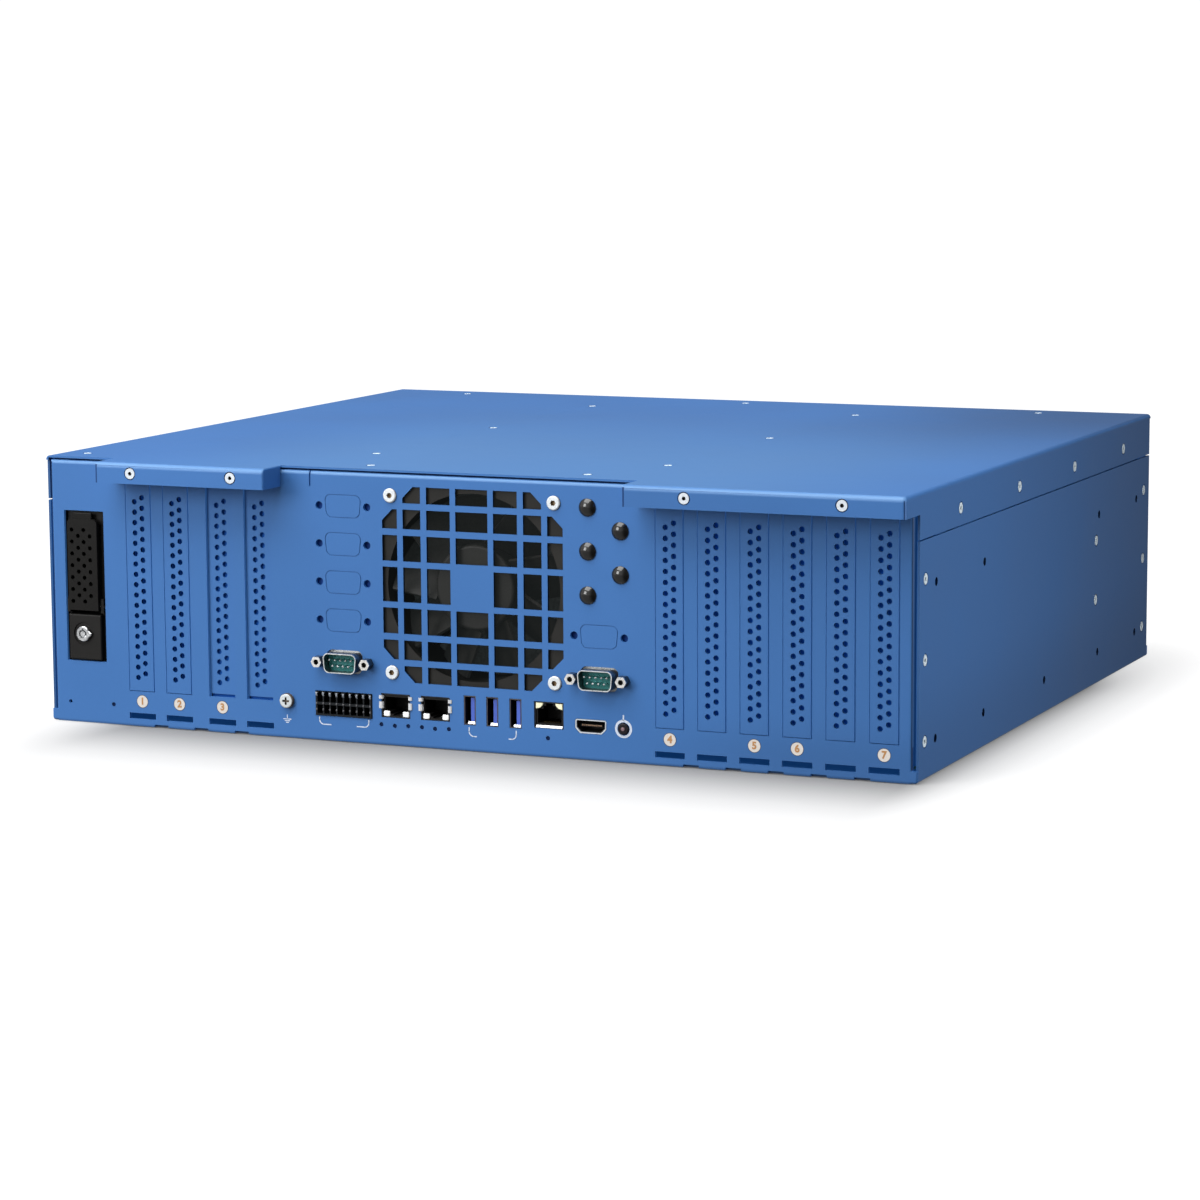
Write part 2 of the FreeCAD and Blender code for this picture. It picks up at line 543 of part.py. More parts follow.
scr = []
for sx in (-1, 1):
    for sz in (-1, 1):
        scr.append(low_screw(FAN_X + sx * FAN_SPACING / 2, FAN_Z + sz * FAN_SPACING / 2, 0, -1, 9.0))
for x in REAR_FANS:
    for sx in (-1, 1):
        for sz in (-1, 1):
            scr.append(low_screw(x + sx * REAR_SPACING / 2, REAR_FAN_Z + sz * REAR_SPACING / 2, D, 1, 9.0))
put("fan_screws", *scr)
put("supply_screws", *[low_screw(x, z, D, 1, 6.0, 2.8, 0.9, 1.45) for x, z in SUPPLY_SCREWS])
earth = fuse(cy(EARTH[0], EARTH[1], 3.5, -2.2, 0), cy(EARTH[0], EARTH[1], 1.5, 0, 6.0))
earth = earth.makeFillet(0.8, edges_at(earth, lambda b: near(b.YMin, -2.2) and near(b.YMax, -2.2)))
earth = cut(earth, recess(EARTH[0], -2.2, EARTH[1], (0, -1, 0), 1.2, 1.8, 0.5))
put("earth_screw", earth)

# ---------------------------------------------------------------------------
# front sockets and fittings
# ---------------------------------------------------------------------------
PLUG_R = 4.1
PLUG_DOME = (PLUG_R ** 2 + 1.9 ** 2) / (2 * 1.9)
plugs = []
for x, z in PLUGS:
    dome = Part.makeSphere(PLUG_DOME, V(x, PLUG_DOME - 2.3, z)).common(cy(x, z, PLUG_R, -4, -0.4))
    head = fuse(cy(x, z, PLUG_R, -0.5, 0), dome)
    plugs.append(fuse(head, cy(x, z, 3.1, 0, 4.0)))
put("hole_plugs", *plugs)

DSUB_FLOOR = -0.8    # face of the insert, well inside the shell
shells, inserts, jacks, dpins = [], [], [], []
for x, z in (DSUB_L, DSUB_R):
    outer = fuse(dshape(x, z, 17.6, 9.3, -5.6, TP + 0.6, 2.6, 0.9),
                 rbox_y(x - 15.4, x + 15.4, z - 6.2, z + 6.2, TP, TP + 1.0, 1.0))
    shell = outer.cut([dshape(x, z, 16.7, 8.4, -7, TP + 3, 2.2, 0.9)]
                      + [cy(x + s * DSUB_HALF, z, 1.6, 0, 5) for s in (-1, 1)])
    shells.append(shell)
    ins = fuse(dshape(x, z, 16.6, 8.3, DSUB_FLOOR, TP + 1.0, 2.15, 0.9),
               rbox_y(x - 9.4, x + 9.4, z - 5.2, z + 5.2, TP + 1.0, 11.5, 1.0))
    seats = []
    for px, pz in ([(x + (i - 2) * 2.77, z + 1.42) for i in range(5)]
                   + [(x + (i - 1.5) * 2.77, z - 1.42) for i in range(4)]):
        seats.append(cy(px, pz, 0.5, DSUB_FLOOR - 1, 2.0))
        tip = Part.makeCone(0.22, 0.5, 0.4, V(px, DSUB_FLOOR - 4.2, pz), V(0, 1, 0))
        dpins.append(fuse(cy(px, pz, 0.5, DSUB_FLOOR - 3.8, 2.0), tip))
    inserts.append(ins.cut(seats))
    for s in (-1, 1):
        jx = x + s * DSUB_HALF
        hexa = prism_y([(jx + 2.75 * math.cos(math.radians(60 * k)), z + 2.75 * math.sin(math.radians(60 * k)))
                        for k in range(6)], -5.0, 0)
        j = fuse(hexa, cy(jx, z, 1.5, 0, 7.0))
        jacks.append(j.cut(cy(jx, z, 1.25, -6, -0.5)))
put("dsub_shells", *shells)
put("dsub_inserts", *inserts)
put("dsub_jackscrews", *jacks)

# two-row terminal header with one pin in each pocket
tx0, tx1 = TERM_X
tz0, tz1 = TERM_Z
term = fuse(box(tx0, tx1, -0.6, 12.5, tz0, tz1), box(tx0 + 0.4, tx1 - 0.4, 3.2, 12.5, BOARD_Z[1], tz0 + 0.5))
pockets, tpins = [], []
tm = (tx0 + tx1) / 2.0
for i in range(8):
    px = tm + (i - 3.5) * 3.5
    for j, (za, zb) in enumerate(((tz0 + 0.75, tz0 + 5.1), (tz0 + 6.2, tz1 - 0.75))):
        pockets.append(box(px - 1.42, px + 1.42, -1, 8.0, za, zb))
        zc = (za + zb) / 2.0
        tpins.append(box(px - 0.5, px + 0.5, 3.0, 8.0, zc - 0.5, zc + 0.5))
    pockets.append(box(px - 0.8, px + 0.8, -1, 1.6, tz1 - 0.8, tz1 + 1))
put("terminal_header", term.cut(pockets))
put("connector_pins", *(tpins + dpins))

# shielded network sockets: metal shield around a moulded insert
shields, moulds, contacts = [], [], []
for x, z, w, h, up in JACKS:
    ow, oh = w - 0.3, h - 0.3
    sh = box(x - ow / 2, x + ow / 2, 0.3, 16.0, z - oh / 2, z + oh / 2)
    sh = sh.cut(box(x - ow / 2 + 0.45, x + ow / 2 - 0.45, -1, 17.0, z - oh / 2 + 0.45, z + oh / 2 - 0.45))
    legs = box(x - ow / 2, x + ow / 2, 4.0, 16.0, BOARD_Z[1], z - oh / 2 + 0.2)
    legs = legs.cut(box(x - ow / 2 + 0.45, x + ow / 2 - 0.45, 0, 17.0, 0, 30))
    shields.append(fuse(sh, legs))
    iw, ih = ow - 0.9, oh - 0.9
    block = box(x - iw / 2, x + iw / 2, 1.0, 16.0, z - ih / 2, z + ih / 2)
    zo = z - up * 0.6
    hole = [box(x - 5.9, x + 5.9, 0, 12.5, zo - 3.4, zo + 3.4)]
    if up > 0:
        hole += [box(x - 3.1, x + 3.1, 0, 12.5, zo + 3.0, zo + 4.8), box(x - 1.7, x + 1.7, 0, 12.5, zo + 4.0, zo + 6.0)]
    else:
        hole += [box(x - 3.1, x + 3.1, 0, 12.5, zo - 4.6, zo - 3.0), box(x - 1.7, x + 1.7, 0, 12.5, zo - 5.4, zo - 4.0)]
    moulds.append(block.cut(hole))
    for k in range(8):
        kx = x + (k - 3.5) * 1.02
        zc = zo - up * 2.9
        contacts.append(box(kx - 0.2, kx + 0.2, 4.0, 12.5, zc - 0.5 if up > 0 else zc, zc if up > 0 else zc + 0.5))
put("network_shields", *shields)
put("network_inserts", *moulds)
put("network_contacts", *contacts)

# upright serial bus sockets: folded shell, blue tongue
shells, tongues = [], []
for x in BUS:
    x0, x1 = x - BUS_W / 2 + 0.15, x + BUS_W / 2 - 0.15
    z0, z1 = BUS_Z[0] + 0.15, BUS_Z[1] - 0.15
    sh = box(x0, x1, 0.2, 15.0, z0, z1).cut(box(x0 + 0.4, x1 - 0.4, -1, 14.2, z0 + 0.4, z1 - 0.4))
    legs = box(x0, x0 + 0.4, 4.0, 14.0, BOARD_Z[1], z0 + 0.1)
    legs2 = box(x1 - 0.4, x1, 4.0, 14.0, BOARD_Z[1], z0 + 0.1)
    shells.append(fuse(sh, legs, legs2))
    tongues.append(fuse(box(x + 0.1, x + 1.9, 1.2, 14.2, z0 + 1.0, z1 - 1.0),
                        box(x0 + 0.4, x1 - 0.4, 11.0, 14.2, z0 + 0.4, z1 - 0.4)))
put("bus_shells", *shells)
put("bus_tongues", *tongues)

# video socket: shell with two bevelled lower corners, thin tongue
vx, vz = VIDEO
vsh = video_solid(0.0, 0.1, 12.0).cut(video_solid(0.5, -1, 11.2))
vlegs = fuse(box(vx - 7.6, vx - 7.1, 4.0, 11.0, BOARD_Z[1], vz), box(vx - 7.6, vx - 7.1, 4.5, 10.5, BOARD_Z[1], vz))
vleg2 = box(vx + 7.1, vx + 7.6, 4.0, 11.0, BOARD_Z[1], vz)
put("video_shell", fuse(vsh, vlegs, vleg2))
put("video_tongue", fuse(box(vx - 5.4, vx + 5.4, 1.4, 10.0, vz - 0.2, vz + 0.9),
                         video_solid(0.55, 9.2, 11.2)))

# power button on its switch
px, pz = POWER
btn = cy(px, pz, 2.6, -0.9, 3.0)
btn = btn.makeFillet(0.5, edges_at(btn, lambda b: near(b.YMin, -0.9) and near(b.YMax, -0.9)))
put("power_button", fuse(btn, cy(px, pz, 1.2, 3.0, 9.0)))
psw = box(px - 4.5, px + 4.5, 5.2, 14.0, BOARD_Z[1], pz + 4.4).cut(cy(px, pz, 1.26, 0, 11.5))
put("power_switch", psw)

# reset plunger behind its pinhole, on an upright status board
rx, rz = RESET
put("reset_plunger", fuse(cy(rx, rz, 1.6, 2.4, 4.0), cy(rx, rz, 0.8, 4.0, 7.0)))
put("status_board", fuse(box(5.0, 35.0, 10.0, 11.6, T, 16.0),
                         box(rx - 3, rx + 3, 5.0, 10.0, rz - 3, rz + 3)).cut(cy(rx, rz, 0.86, 0, 9.0)))
put("light_pipes", *[cy(x, z, 1.0, 0.35, 2.7) for x, z in LIGHTS])


# ---------------------------------------------------------------------------
# fans: square frame with motor mount, bladed rotor on a shaft
# ---------------------------------------------------------------------------
def make_fan(x, z, size, spacing, y_face, sense, hub_r):
    """Frame and rotor; sense +1 puts the motor mount on the far (+y) side."""
    h = size / 2.0
    bore = h - 2.4
    yb = y_face if sense > 0 else y_face - FAN_DEEP
    frame = box(x - h, x + h, yb, yb + FAN_DEEP, z - h, z + h)
    frame = frame.makeFillet(4.0, edges_at(frame, lambda b: b.YLength > 5 and b.XLength < 1e-4 and b.ZLength < 1e-4))
    frame = frame.cut(cy(x, z, bore, yb - 1, yb + FAN_DEEP + 1))
    # waist between the two flanges
    for sx in (-1, 1):
        for sz in (-1, 1):
            frame = frame.cut(cy(x + sx * spacing / 2, z + sz * spacing / 2, 2.15, yb - 1, yb + FAN_DEEP + 1))
    if sense > 0:
        m0, m1 = yb + FAN_DEEP - 4.5, yb + FAN_DEEP
    else:
        m0, m1 = yb, yb + 4.5
    mount = cy(x, z, hub_r, m0, m1)
    struts = []
    for k in range(4):
        s = box(x - 1.5, x + 1.5, m0 + 0.8, m1, z, z + bore + 1.0)
        s.rotate(V(x, 0, z), V(0, 1, 0), 45 + 90 * k)
        struts.append(s)
    frame = fuse(frame, mount, *struts)
    frame = frame.cut(cy(x, z, 1.56, m0 - 1, m1 - 0.6 if sense > 0 else m1 + 1)) if sense > 0 else \
        frame.cut(cy(x, z, 1.56, m0 + 0.6, m1 + 1))
    if sense > 0:
        h0, h1 = yb + 1.6, m0 - 0.7
        shaft = cy(x, z, 1.5, h1 - 0.5, m1 - 1.0)
    else:
        h0, h1 = m1 + 0.7, yb + FAN_DEEP - 1.6
        shaft = cy(x, z, 1.5, m0 + 1.0, h0 + 0.5)
    hub = cy(x, z, hub_r, h0, h1)
    nose = h0 if sense > 0 else h1
    hub = hub.makeFillet(1.6, edges_at(hub, lambda b: near(b.YMin, nose) and near(b.YMax, nose)))
    ym = (h0 + h1) / 2.0
    blades = []
    for k in range(FAN_BLADES):
        bl = box(x - BLADE_W / 2, x + BLADE_W / 2, ym - 0.75, ym + 0.75, z + hub_r - 1.2, z + bore + 3)
        bl.rotate(V(x, ym, z), V(0, 0, 1), 38 * sense)
        bl = bl.common(cy(x, z, bore - 1.1, ym - 30, ym + 30))
        bl.rotate(V(x, ym, z), V(0, 1, 0), 360.0 / FAN_BLADES * k)
        blades.append(bl)
    rotor = fuse(hub, shaft, *blades)
    return frame, rotor


frame, rotor = make_fan(FAN_X, FAN_Z, FAN_SIZE, FAN_SPACING, TP, 1, 20.0)
put("front_fan_frame", frame)
put("front_fan_rotor", rotor)
frames = []
for name, x in (("rear_fan_rotor_left", REAR_FANS[0]), ("rear_fan_rotor_right", REAR_FANS[1])):
    frame, rotor = make_fan(x, REAR_FAN_Z, REAR_SIZE, REAR_SPACING, D - TP, -1, 17.0)
    frames.append(frame)
    put(name, rotor)
put("rear_fan_frames", *frames)

# ---------------------------------------------------------------------------
# drive bay: cage, backplane, tray, lever, lock, drive
# ---------------------------------------------------------------------------
cage = box(8.0, 32.5, TP, 120.0, 28.4, 104.0)
cage = cage.cut(box(9.0, 31.5, 0, 130, 29.4, 103.0))
cage = cage.cut([box(7, 34, 30.0 + 26 * k, 48.0 + 26 * k, 50.0, 84.0) for k in range(3)])
put("drive_cage", cage)
put("drive_backplane", fuse(box(9.05, 31.45, 118.0, 119.6, 29.45, 102.95), box(14.0, 27.0, 113.6, 118.0, 46.0, 86.0)))

bz0, bz1 = BAY_Z[0] + 0.5, BAY_Z[1] - 0.5
bx0, bx1 = BAY_X[0] + 0.5, BAY_X[1] - 0.5
bezel = box(bx0, bx1, 2.4, 6.2, bz0, bz1)
bezel = bezel.cut(box(LEVER_X[0] - 0.4, LEVER_X[1] + 0.4, 0, 10, 52.5, 96.0))
block = box(LEVER_X[0] - 0.6, LEVER_X[1] + 0.9, -0.6, 2.6, bz0 + 0.3, 52.5)
block = block.makeFillet(0.6, edges_at(block, lambda b: near(b.YMin, -0.6) and near(b.YMax, -0.6)))
cheeks = [box(bx0, LEVER_X[0] - 0.4, 0.4, 2.6, 53.4, 60.2), box(LEVER_X[1] + 0.4, LEVER_X[1] + 2.0, 0.4, 2.6, 53.4, 60.2)]
# the cheeks join the bezel through their own webs
webs = [box(bx0, LEVER_X[0] - 0.4, 0.4, 6.2, 53.4, 60.2), box(LEVER_X[1] + 0.4, LEVER_X[1] + 2.0, 0.4, 6.2, 53.4, 60.2)]
rails = [box(11.2, 29.6, 6.0, 113.0, bz0, bz0 + 0.9), box(11.2, 29.6, 6.0, 113.0, bz1 - 0.9, bz1),
         box(11.2, 12.6, 6.0, 113.0, bz0, bz1)]
tray = fuse(bezel, block, *(cheeks + webs + rails))
tray = cut(tray, [cy(LOCK_X, LOCK_Z, LOCK_R + 0.06, -2, 7), cy(LOCK_X, LOCK_Z, 5.6, -2, -0.1), cx(LEVER_PIN_Y, LEVER_PIN_Z, 1.0, bx0 - 1, bx1 + 1),
                  box(10.5, 12.9, 30.0, 44.0, 48.0, 84.0), box(10.5, 12.9, 60.0, 74.0, 48.0, 84.0)])
put("drive_tray", tray)
put("lever_pin", cx(LEVER_PIN_Y, LEVER_PIN_Z, 1.0, bx0 + 0.1, LEVER_X[1] + 2.0))
put("solid_state_drive", rbox_y(12.65, 27.65, bz0 + 0.95, bz1 - 0.95, 12.6, 113.0, 1.0))

lx0, lx1 = LEVER_X
lz0, lz1 = LEVER_Z
lm = (lx0 + lx1) / 2.0
plate = box(lx0, lx1, -1.2, 0.4, lz0, lz1)
plate = plate.makeFillet(2.4, edges_at(plate, lambda b: b.YLength > 1 and b.XLength < 1e-4 and near(b.ZMin, lz1)))
tab = box(lm - 5.0, lm + 5.0, -0.5, 0.4, lz1 - 1.0, lz1 + 2.9)
tab = tab.makeFillet(0.4, edges_at(tab, lambda b: near(b.YMin, -0.5) and near(b.YMax, -0.5)))
ears = [box(lx0, lx0 + 1.2, 0.2, 3.6, lz0 + 0.4, 59.4), box(lx1 - 1.2, lx1, 0.2, 3.6, lz0 + 0.4, 59.4)]
ribs = [box(lx0, lx0 + 1.0, 0.2, 1.6, 59.0, lz1 - 3), box(lx1 - 1.0, lx1, 0.2, 1.6, 59.0, lz1 - 3)]
lever = fuse(plate, tab, *(ears + ribs))
holes = [cx(LEVER_PIN_Y, LEVER_PIN_Z, 1.06, lx0 - 1, lx1 + 1)]
for c, px_ in enumerate((-5.35, -1.9, 1.2, 4.6)):
    n = 7 if c % 2 == 0 else 6
    for i in range(n):
        top = 93.4 if c % 2 == 0 else 90.5
        holes.append(cy(lm + px_ - 0.3, top - 5.75 * i, 1.05, -3, 2))
put("tray_lever", cut(lever, holes))

lock = cy(LOCK_X, LOCK_Z, LOCK_R, -1.9, 8.0)
pointer = prism_y([(LOCK_X + 1.2, LOCK_Z + 3.2), (LOCK_X + 4.7, LOCK_Z + 0.35), (LOCK_X + 4.7, LOCK_Z - 0.35),
                   (LOCK_X + 1.2, LOCK_Z - 3.2)], -1.9, -0.95)
lock = fuse(lock, pointer)
lock = lock.makeChamfer(0.3, edges_at(lock, lambda b: near(b.YMin, -1.9) and near(b.YMax, -1.9)))
cam = box(LOCK_X - 1.5, LOCK_X + 1.5, 8.0, 9.4, LOCK_Z - 5.8, LOCK_Z + 1.5)
lock = fuse(lock, cam)
keyway = [cy(LOCK_X, LOCK_Z, 2.1, -3, 1.0).cut(cy(LOCK_X, LOCK_Z, 1.3, -4, 2)),
          box(LOCK_X - 0.4, LOCK_X + 0.4, -3, 1.0, LOCK_Z + 1.9, LOCK_Z + 2.7)]
put("lock_cylinder", cut(lock, keyway))

# ---------------------------------------------------------------------------
# main board and what it carries
# ---------------------------------------------------------------------------
bd0, bd1 = BOARD_Z
STANDS = [(44.0, 30.0), (140.0, 34.0), (300.0, 34.0), (428.0, 30.0), (44.0, 180.0), (140.0, 180.0),
          (300.0, 180.0), (428.0, 180.0), (140.0, 234.0), (300.0, 234.0)]
board = box(BOARD_X[0], BOARD_X[1], BOARD_Y[0], BOARD_Y[1], bd0, bd1)
put("main_board", cut(board, [cz(x, y, 1.6, 0, 20) for x, y in STANDS]))
put("board_standoffs", *[cz(x, y, 3.0, T, bd0).cut(cz(x, y, 1.46, 3.0, 12)) for x, y in STANDS])
inner_screws += [fuse(cz(x, y, 2.8, bd1, bd1 + 1.8), cz(x, y, 1.4, bd1 - 5.0, bd1 + 0.5)) for x, y in STANDS]
put("inner_screws", *inner_screws)
CPU_X, CPU_Y = 220.5, 112.0
put("processor", fuse(box(CPU_X - 32, CPU_X + 32, CPU_Y - 32, CPU_Y + 32, bd1, bd1 + 3.6),
                      box(CPU_X - 25, CPU_X + 25, CPU_Y - 25, CPU_Y + 25, bd1 + 3.6, bd1 + 6.0)))
sink = [box(CPU_X - 38, CPU_X + 38, CPU_Y - 40, CPU_Y + 40, bd1 + 6.0, bd1 + 12.0)]
fins = []
for k in range(20):
    fx = CPU_X - 38 + 4.0 * k
    fx = min(fx, CPU_X + 38 - 0.8)
    fins.append(box(fx, fx + 0.8, CPU_Y - 40, CPU_Y + 40, bd1 + 11.5, 98.0))
put("heat_sink", fuse(sink[0], *fins))
DIMM_X = [150.5, 158.0, 165.5, 173.0, 268.0, 275.5, 283.0, 290.5]
put("memory_sockets", *[box(x - 3, x + 3, 50.0, 192.0, bd1, bd1 + 7.5).cut(box(x - 0.75, x + 0.75, 54.2, 187.8, bd1 + 2.5, 40))
                        for x in DIMM_X])
put("memory_modules", *[box(x - 0.7, x + 0.7, 54.3, 187.7, bd1 + 2.6, bd1 + 33.0) for x in DIMM_X])
put("card_sockets", *[box(x - 3.7, x + 3.7, 60.0, 149.0, bd1, bd1 + 11.2).cut(box(x - 0.9, x + 0.9, 62.5, 146.5, bd1 + 3.0, 40))
                      for x in SLOTS_L + SLOTS_R])

# card guides behind the paired screws of each side wall
guides = []
for side in (0, 1):
    xa, xb = (T, T + 1.2) if side == 0 else (W - T - 1.2, W - T)
    xc, xd = (T, T + 14.0) if side == 0 else (W - T - 14.0, W - T)
    g = fuse(box(xa, xb, 270.0, 290.0, 36.0, 80.0), box(xc, xd, 270.0, 271.2, 36.0, 80.0))
    g = cut(g, [cx(GUIDE_Y, z, SHANK_R + 0.06, 0 if side == 0 else W - 4, 4 if side == 0 else W) for z in GUIDE_Z])
    guides.append(g)
put("card_guides", *guides)

# air baffles either side of the processor, hung from the lid screws
for name, x, s in (("air_baffle_left", BAFFLE_L, -1), ("air_baffle_right", BAFFLE_R, 1)):
    xa = x + s * 4.0
    web = box(min(xa, xa + s), max(xa, xa + s), 48.0, 334.0, 46.0, H - TL)
    top = box(x - 5.0, x + 5.0, 48.0, 334.0, H - TL - 1.0, H - TL)
    baf = fuse(web, top)
    put(name, cut(baf, [cz(x, y, SHANK_R + 0.06, 120, 130) for y in (63.2, 195.3, 322.0)]))

# power supply case, mains inlet
sx0, sx1 = SUPPLY_X
sy0, sy1 = SUPPLY_Y
sz0, sz1 = SUPPLY_Z
case = box(sx0, sx1, sy0, sy1, sz0, sz1).cut(box(sx0 + 1, sx1 - 1, sy0 + 1, sy1 - 1, sz0 + 1, sz1 - 1))
INLET_X, INLET_Z = 184.0, 34.0
vents = [box(215.0 + 7.0 * k, 218.6 + 7.0 * k, sy1 - 2, sy1 + 1, 14.0, 54.0) for k in range(8)]
vents += [box(232.0 + 5.4 * k, 234.8 + 5.4 * k, sy0 - 1, sy0 + 2, 20.0, 50.0) for k in range(8)]
vents += [box(INLET_X - 14.2, INLET_X + 14.2, sy1 - 2, sy1 + 1, INLET_Z - 11.2, INLET_Z + 11.2)]
vents += [cy(x, z, 1.5, sy1 - 2, sy1 + 1) for x, z in SUPPLY_SCREWS]
put("power_supply", cut(case, vents))
inlet = fuse(box(INLET_X - 14.0, INLET_X + 14.0, sy1 - 20.0, sy1, INLET_Z - 11.0, INLET_Z + 11.0),
             rbox_y(INLET_X - 15.5, INLET_X + 15.5, INLET_Z - 12.5, INLET_Z + 12.5, sy1, sy1 + 1.2, 1.5))
cav = prism_y([(INLET_X - 12.2, INLET_Z - 8.2), (INLET_X + 12.2, INLET_Z - 8.2), (INLET_X + 12.2, INLET_Z + 4.0),
               (INLET_X + 8.2, INLET_Z + 8.2), (INLET_X - 8.2, INLET_Z + 8.2), (INLET_X - 12.2, INLET_Z + 4.0)],
              sy1 - 18.0, sy1 + 3)
put("power_inlet", inlet.cut(cav))
put("inlet_blades", *[box(INLET_X + dx - 1.0, INLET_X + dx + 1.0, sy1 - 18.0, sy1 - 4.5, INLET_Z + dz - 2.0, INLET_Z + dz + 2.0)
                      for dx, dz in ((-7.0, -1.5), (0.0, 1.5), (7.0, -1.5))])


# ---------------------------------------------------------------------------
# leads, each a straight run and a quarter bend down to a header on the board
# ---------------------------------------------------------------------------
def lead(points, r, bend):
    """Round lead through right-angled corners with a bend radius."""
    pts = [V(*p) for p in points]
    edges = []
    start = pts[0]
    for i in range(1, len(pts) - 1):
        a = (pts[i - 1] - pts[i])
        b = (pts[i + 1] - pts[i])
        a.normalize()
        b.normalize()
        p0 = pts[i] + a * bend
        p1 = pts[i] + b * bend
        c = pts[i] + (a + b) * bend
        mid = (pts[i] - c)
        mid.normalize()
        edges.append(Part.makeLine(start, p0))
        edges.append(Part.Arc(p0, c + mid * bend, p1).toShape())
        start = p1
    edges.append(Part.makeLine(start, pts[-1]))
    wire = Part.Wire(edges)
    d = pts[1] - pts[0]
    d.normalize()
    prof = Part.Wire([Part.Edge(Part.Circle(pts[0], d, r))])
    return wire.makePipeShell([prof], True, False)


headers = []
fan_leads = [lead([(243.0, TP + FAN_DEEP, 32.0), (243.0, 36.0, 32.0), (243.0, 36.0, 14.0)], 1.4, 4.0)]
headers.append(box(239.0, 247.0, 33.0, 39.0, bd1, 14.0))
for x in REAR_FANS:
    fan_leads.append(lead([(x, D - TP - FAN_DEEP, 24.0), (x, 234.0, 24.0), (x, 234.0, 14.0)], 1.4, 6.0))
    headers.append(box(x - 4.0, x + 4.0, 231.0, 237.0, bd1, 14.0))
port_leads = []
for x, z in (DSUB_L, DSUB_R):
    port_leads.append(lead([(x, 11.5, z), (x, 24.0, z), (x, 24.0, 14.0)], 2.4, 8.0))
    headers.append(box(x - 5.0, x + 5.0, 21.0, 27.0, bd1, 14.0))
headers.append(box(190.0, 232.0, 224.0, 232.0, bd1, 20.0))
put("board_leads", *(fan_leads + port_leads))
put("power_harness", *[lead([(x, sy0, 40.0), (x, 228.0, 40.0), (x, 228.0, 20.0)], 3.6, 9.0) for x in (195.0, 205.5, 216.0, 226.5)])
put("drive_cable", lead([(20.0, 119.6, 50.0), (20.0, 166.0, 50.0), (54.0, 166.0, 50.0), (54.0, 166.0, 18.0)], 2.6, 10.0))
headers.append(box(48.0, 60.0, 162.0, 170.0, bd1, 18.0))
put("board_headers", *headers)

# ---------------------------------------------------------------------------
# write one file per named piece
# ---------------------------------------------------------------------------
os.makedirs("parts", exist_ok=True)
for name, solids in NODES.items():
    shape = solids[0] if len(solids) == 1 else Part.makeCompound(solids)
    shape.exportStep("parts/" + name + ".step")
print(len(NODES), "pieces")
for name, solids in NODES.items():
    bad = [s for s in solids if not s.isValid()]
    if bad:
        print("not valid:", name, len(bad))
allb = Part.makeCompound([s for v in NODES.values() for s in v]).BoundBox
print("box", allb.XMin, allb.XMax, allb.YMin, allb.YMax, allb.ZMin, allb.ZMax)
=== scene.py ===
import json
import math

import bmesh
import bpy
from mathutils import Matrix, Vector


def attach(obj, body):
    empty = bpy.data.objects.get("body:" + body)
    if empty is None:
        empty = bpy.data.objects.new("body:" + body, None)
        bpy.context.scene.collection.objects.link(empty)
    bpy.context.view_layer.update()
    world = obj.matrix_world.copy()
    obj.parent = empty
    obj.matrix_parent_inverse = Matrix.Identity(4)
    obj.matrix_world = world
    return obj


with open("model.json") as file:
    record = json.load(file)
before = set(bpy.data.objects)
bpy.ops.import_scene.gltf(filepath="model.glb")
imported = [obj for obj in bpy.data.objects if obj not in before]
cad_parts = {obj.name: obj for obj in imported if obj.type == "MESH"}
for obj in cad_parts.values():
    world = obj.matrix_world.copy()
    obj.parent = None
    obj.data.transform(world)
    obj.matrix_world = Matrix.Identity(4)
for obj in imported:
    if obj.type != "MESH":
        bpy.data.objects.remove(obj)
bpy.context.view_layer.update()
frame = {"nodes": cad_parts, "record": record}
nodes = frame["nodes"]

# Working frame of the part, in millimetres: x from the left wall, y from the
# front panel face, z from the underside.  The row frame is centred.
OX, OY = -220.0, -181.75
SLOTS_L = [50.3, 70.6, 93.9, 114.2]
SLOTS_R = [424.6 - 20.32 * k for k in (5, 4, 3, 2, 1, 0)]


def at(x, y, z):
    return Vector(((x + OX) / 1000.0, (y + OY) / 1000.0, z / 1000.0))


# ---------------------------------------------------------------------------
# materials
# ---------------------------------------------------------------------------
def new_mat(name):
    m = bpy.data.materials.new(name)
    m.use_nodes = True
    nt = m.node_tree
    return m, nt, nt.nodes["Principled BSDF"]


def coords(nt, scale):
    tc = nt.nodes.new("ShaderNodeTexCoord")
    mp = nt.nodes.new("ShaderNodeMapping")
    mp.inputs["Scale"].default_value = scale
    nt.links.new(tc.outputs["Object"], mp.inputs["Vector"])
    return mp.outputs["Vector"]


def noise(nt, vec, scale, detail=3.0, rough=0.5):
    n = nt.nodes.new("ShaderNodeTexNoise")
    n.inputs["Scale"].default_value = scale
    n.inputs["Detail"].default_value = detail
    n.inputs["Roughness"].default_value = rough
    nt.links.new(vec, n.inputs["Vector"])
    return n.outputs["Fac"]


def ramp(nt, fac, stops):
    r = nt.nodes.new("ShaderNodeValToRGB")
    el = r.color_ramp.elements
    while len(el) < len(stops):
        el.new(0.5)
    for e, (p, c) in zip(el, stops):
        e.position = p
        e.color = (c[0], c[1], c[2], 1.0)
    nt.links.new(fac, r.inputs["Fac"])
    return r.outputs["Color"]


def remap(nt, fac, lo, hi, frm=(0.3, 0.7)):
    r = nt.nodes.new("ShaderNodeMapRange")
    r.inputs["From Min"].default_value = frm[0]
    r.inputs["From Max"].default_value = frm[1]
    r.inputs["To Min"].default_value = lo
    r.inputs["To Max"].default_value = hi
    nt.links.new(fac, r.inputs["Value"])
    return r.outputs["Result"]


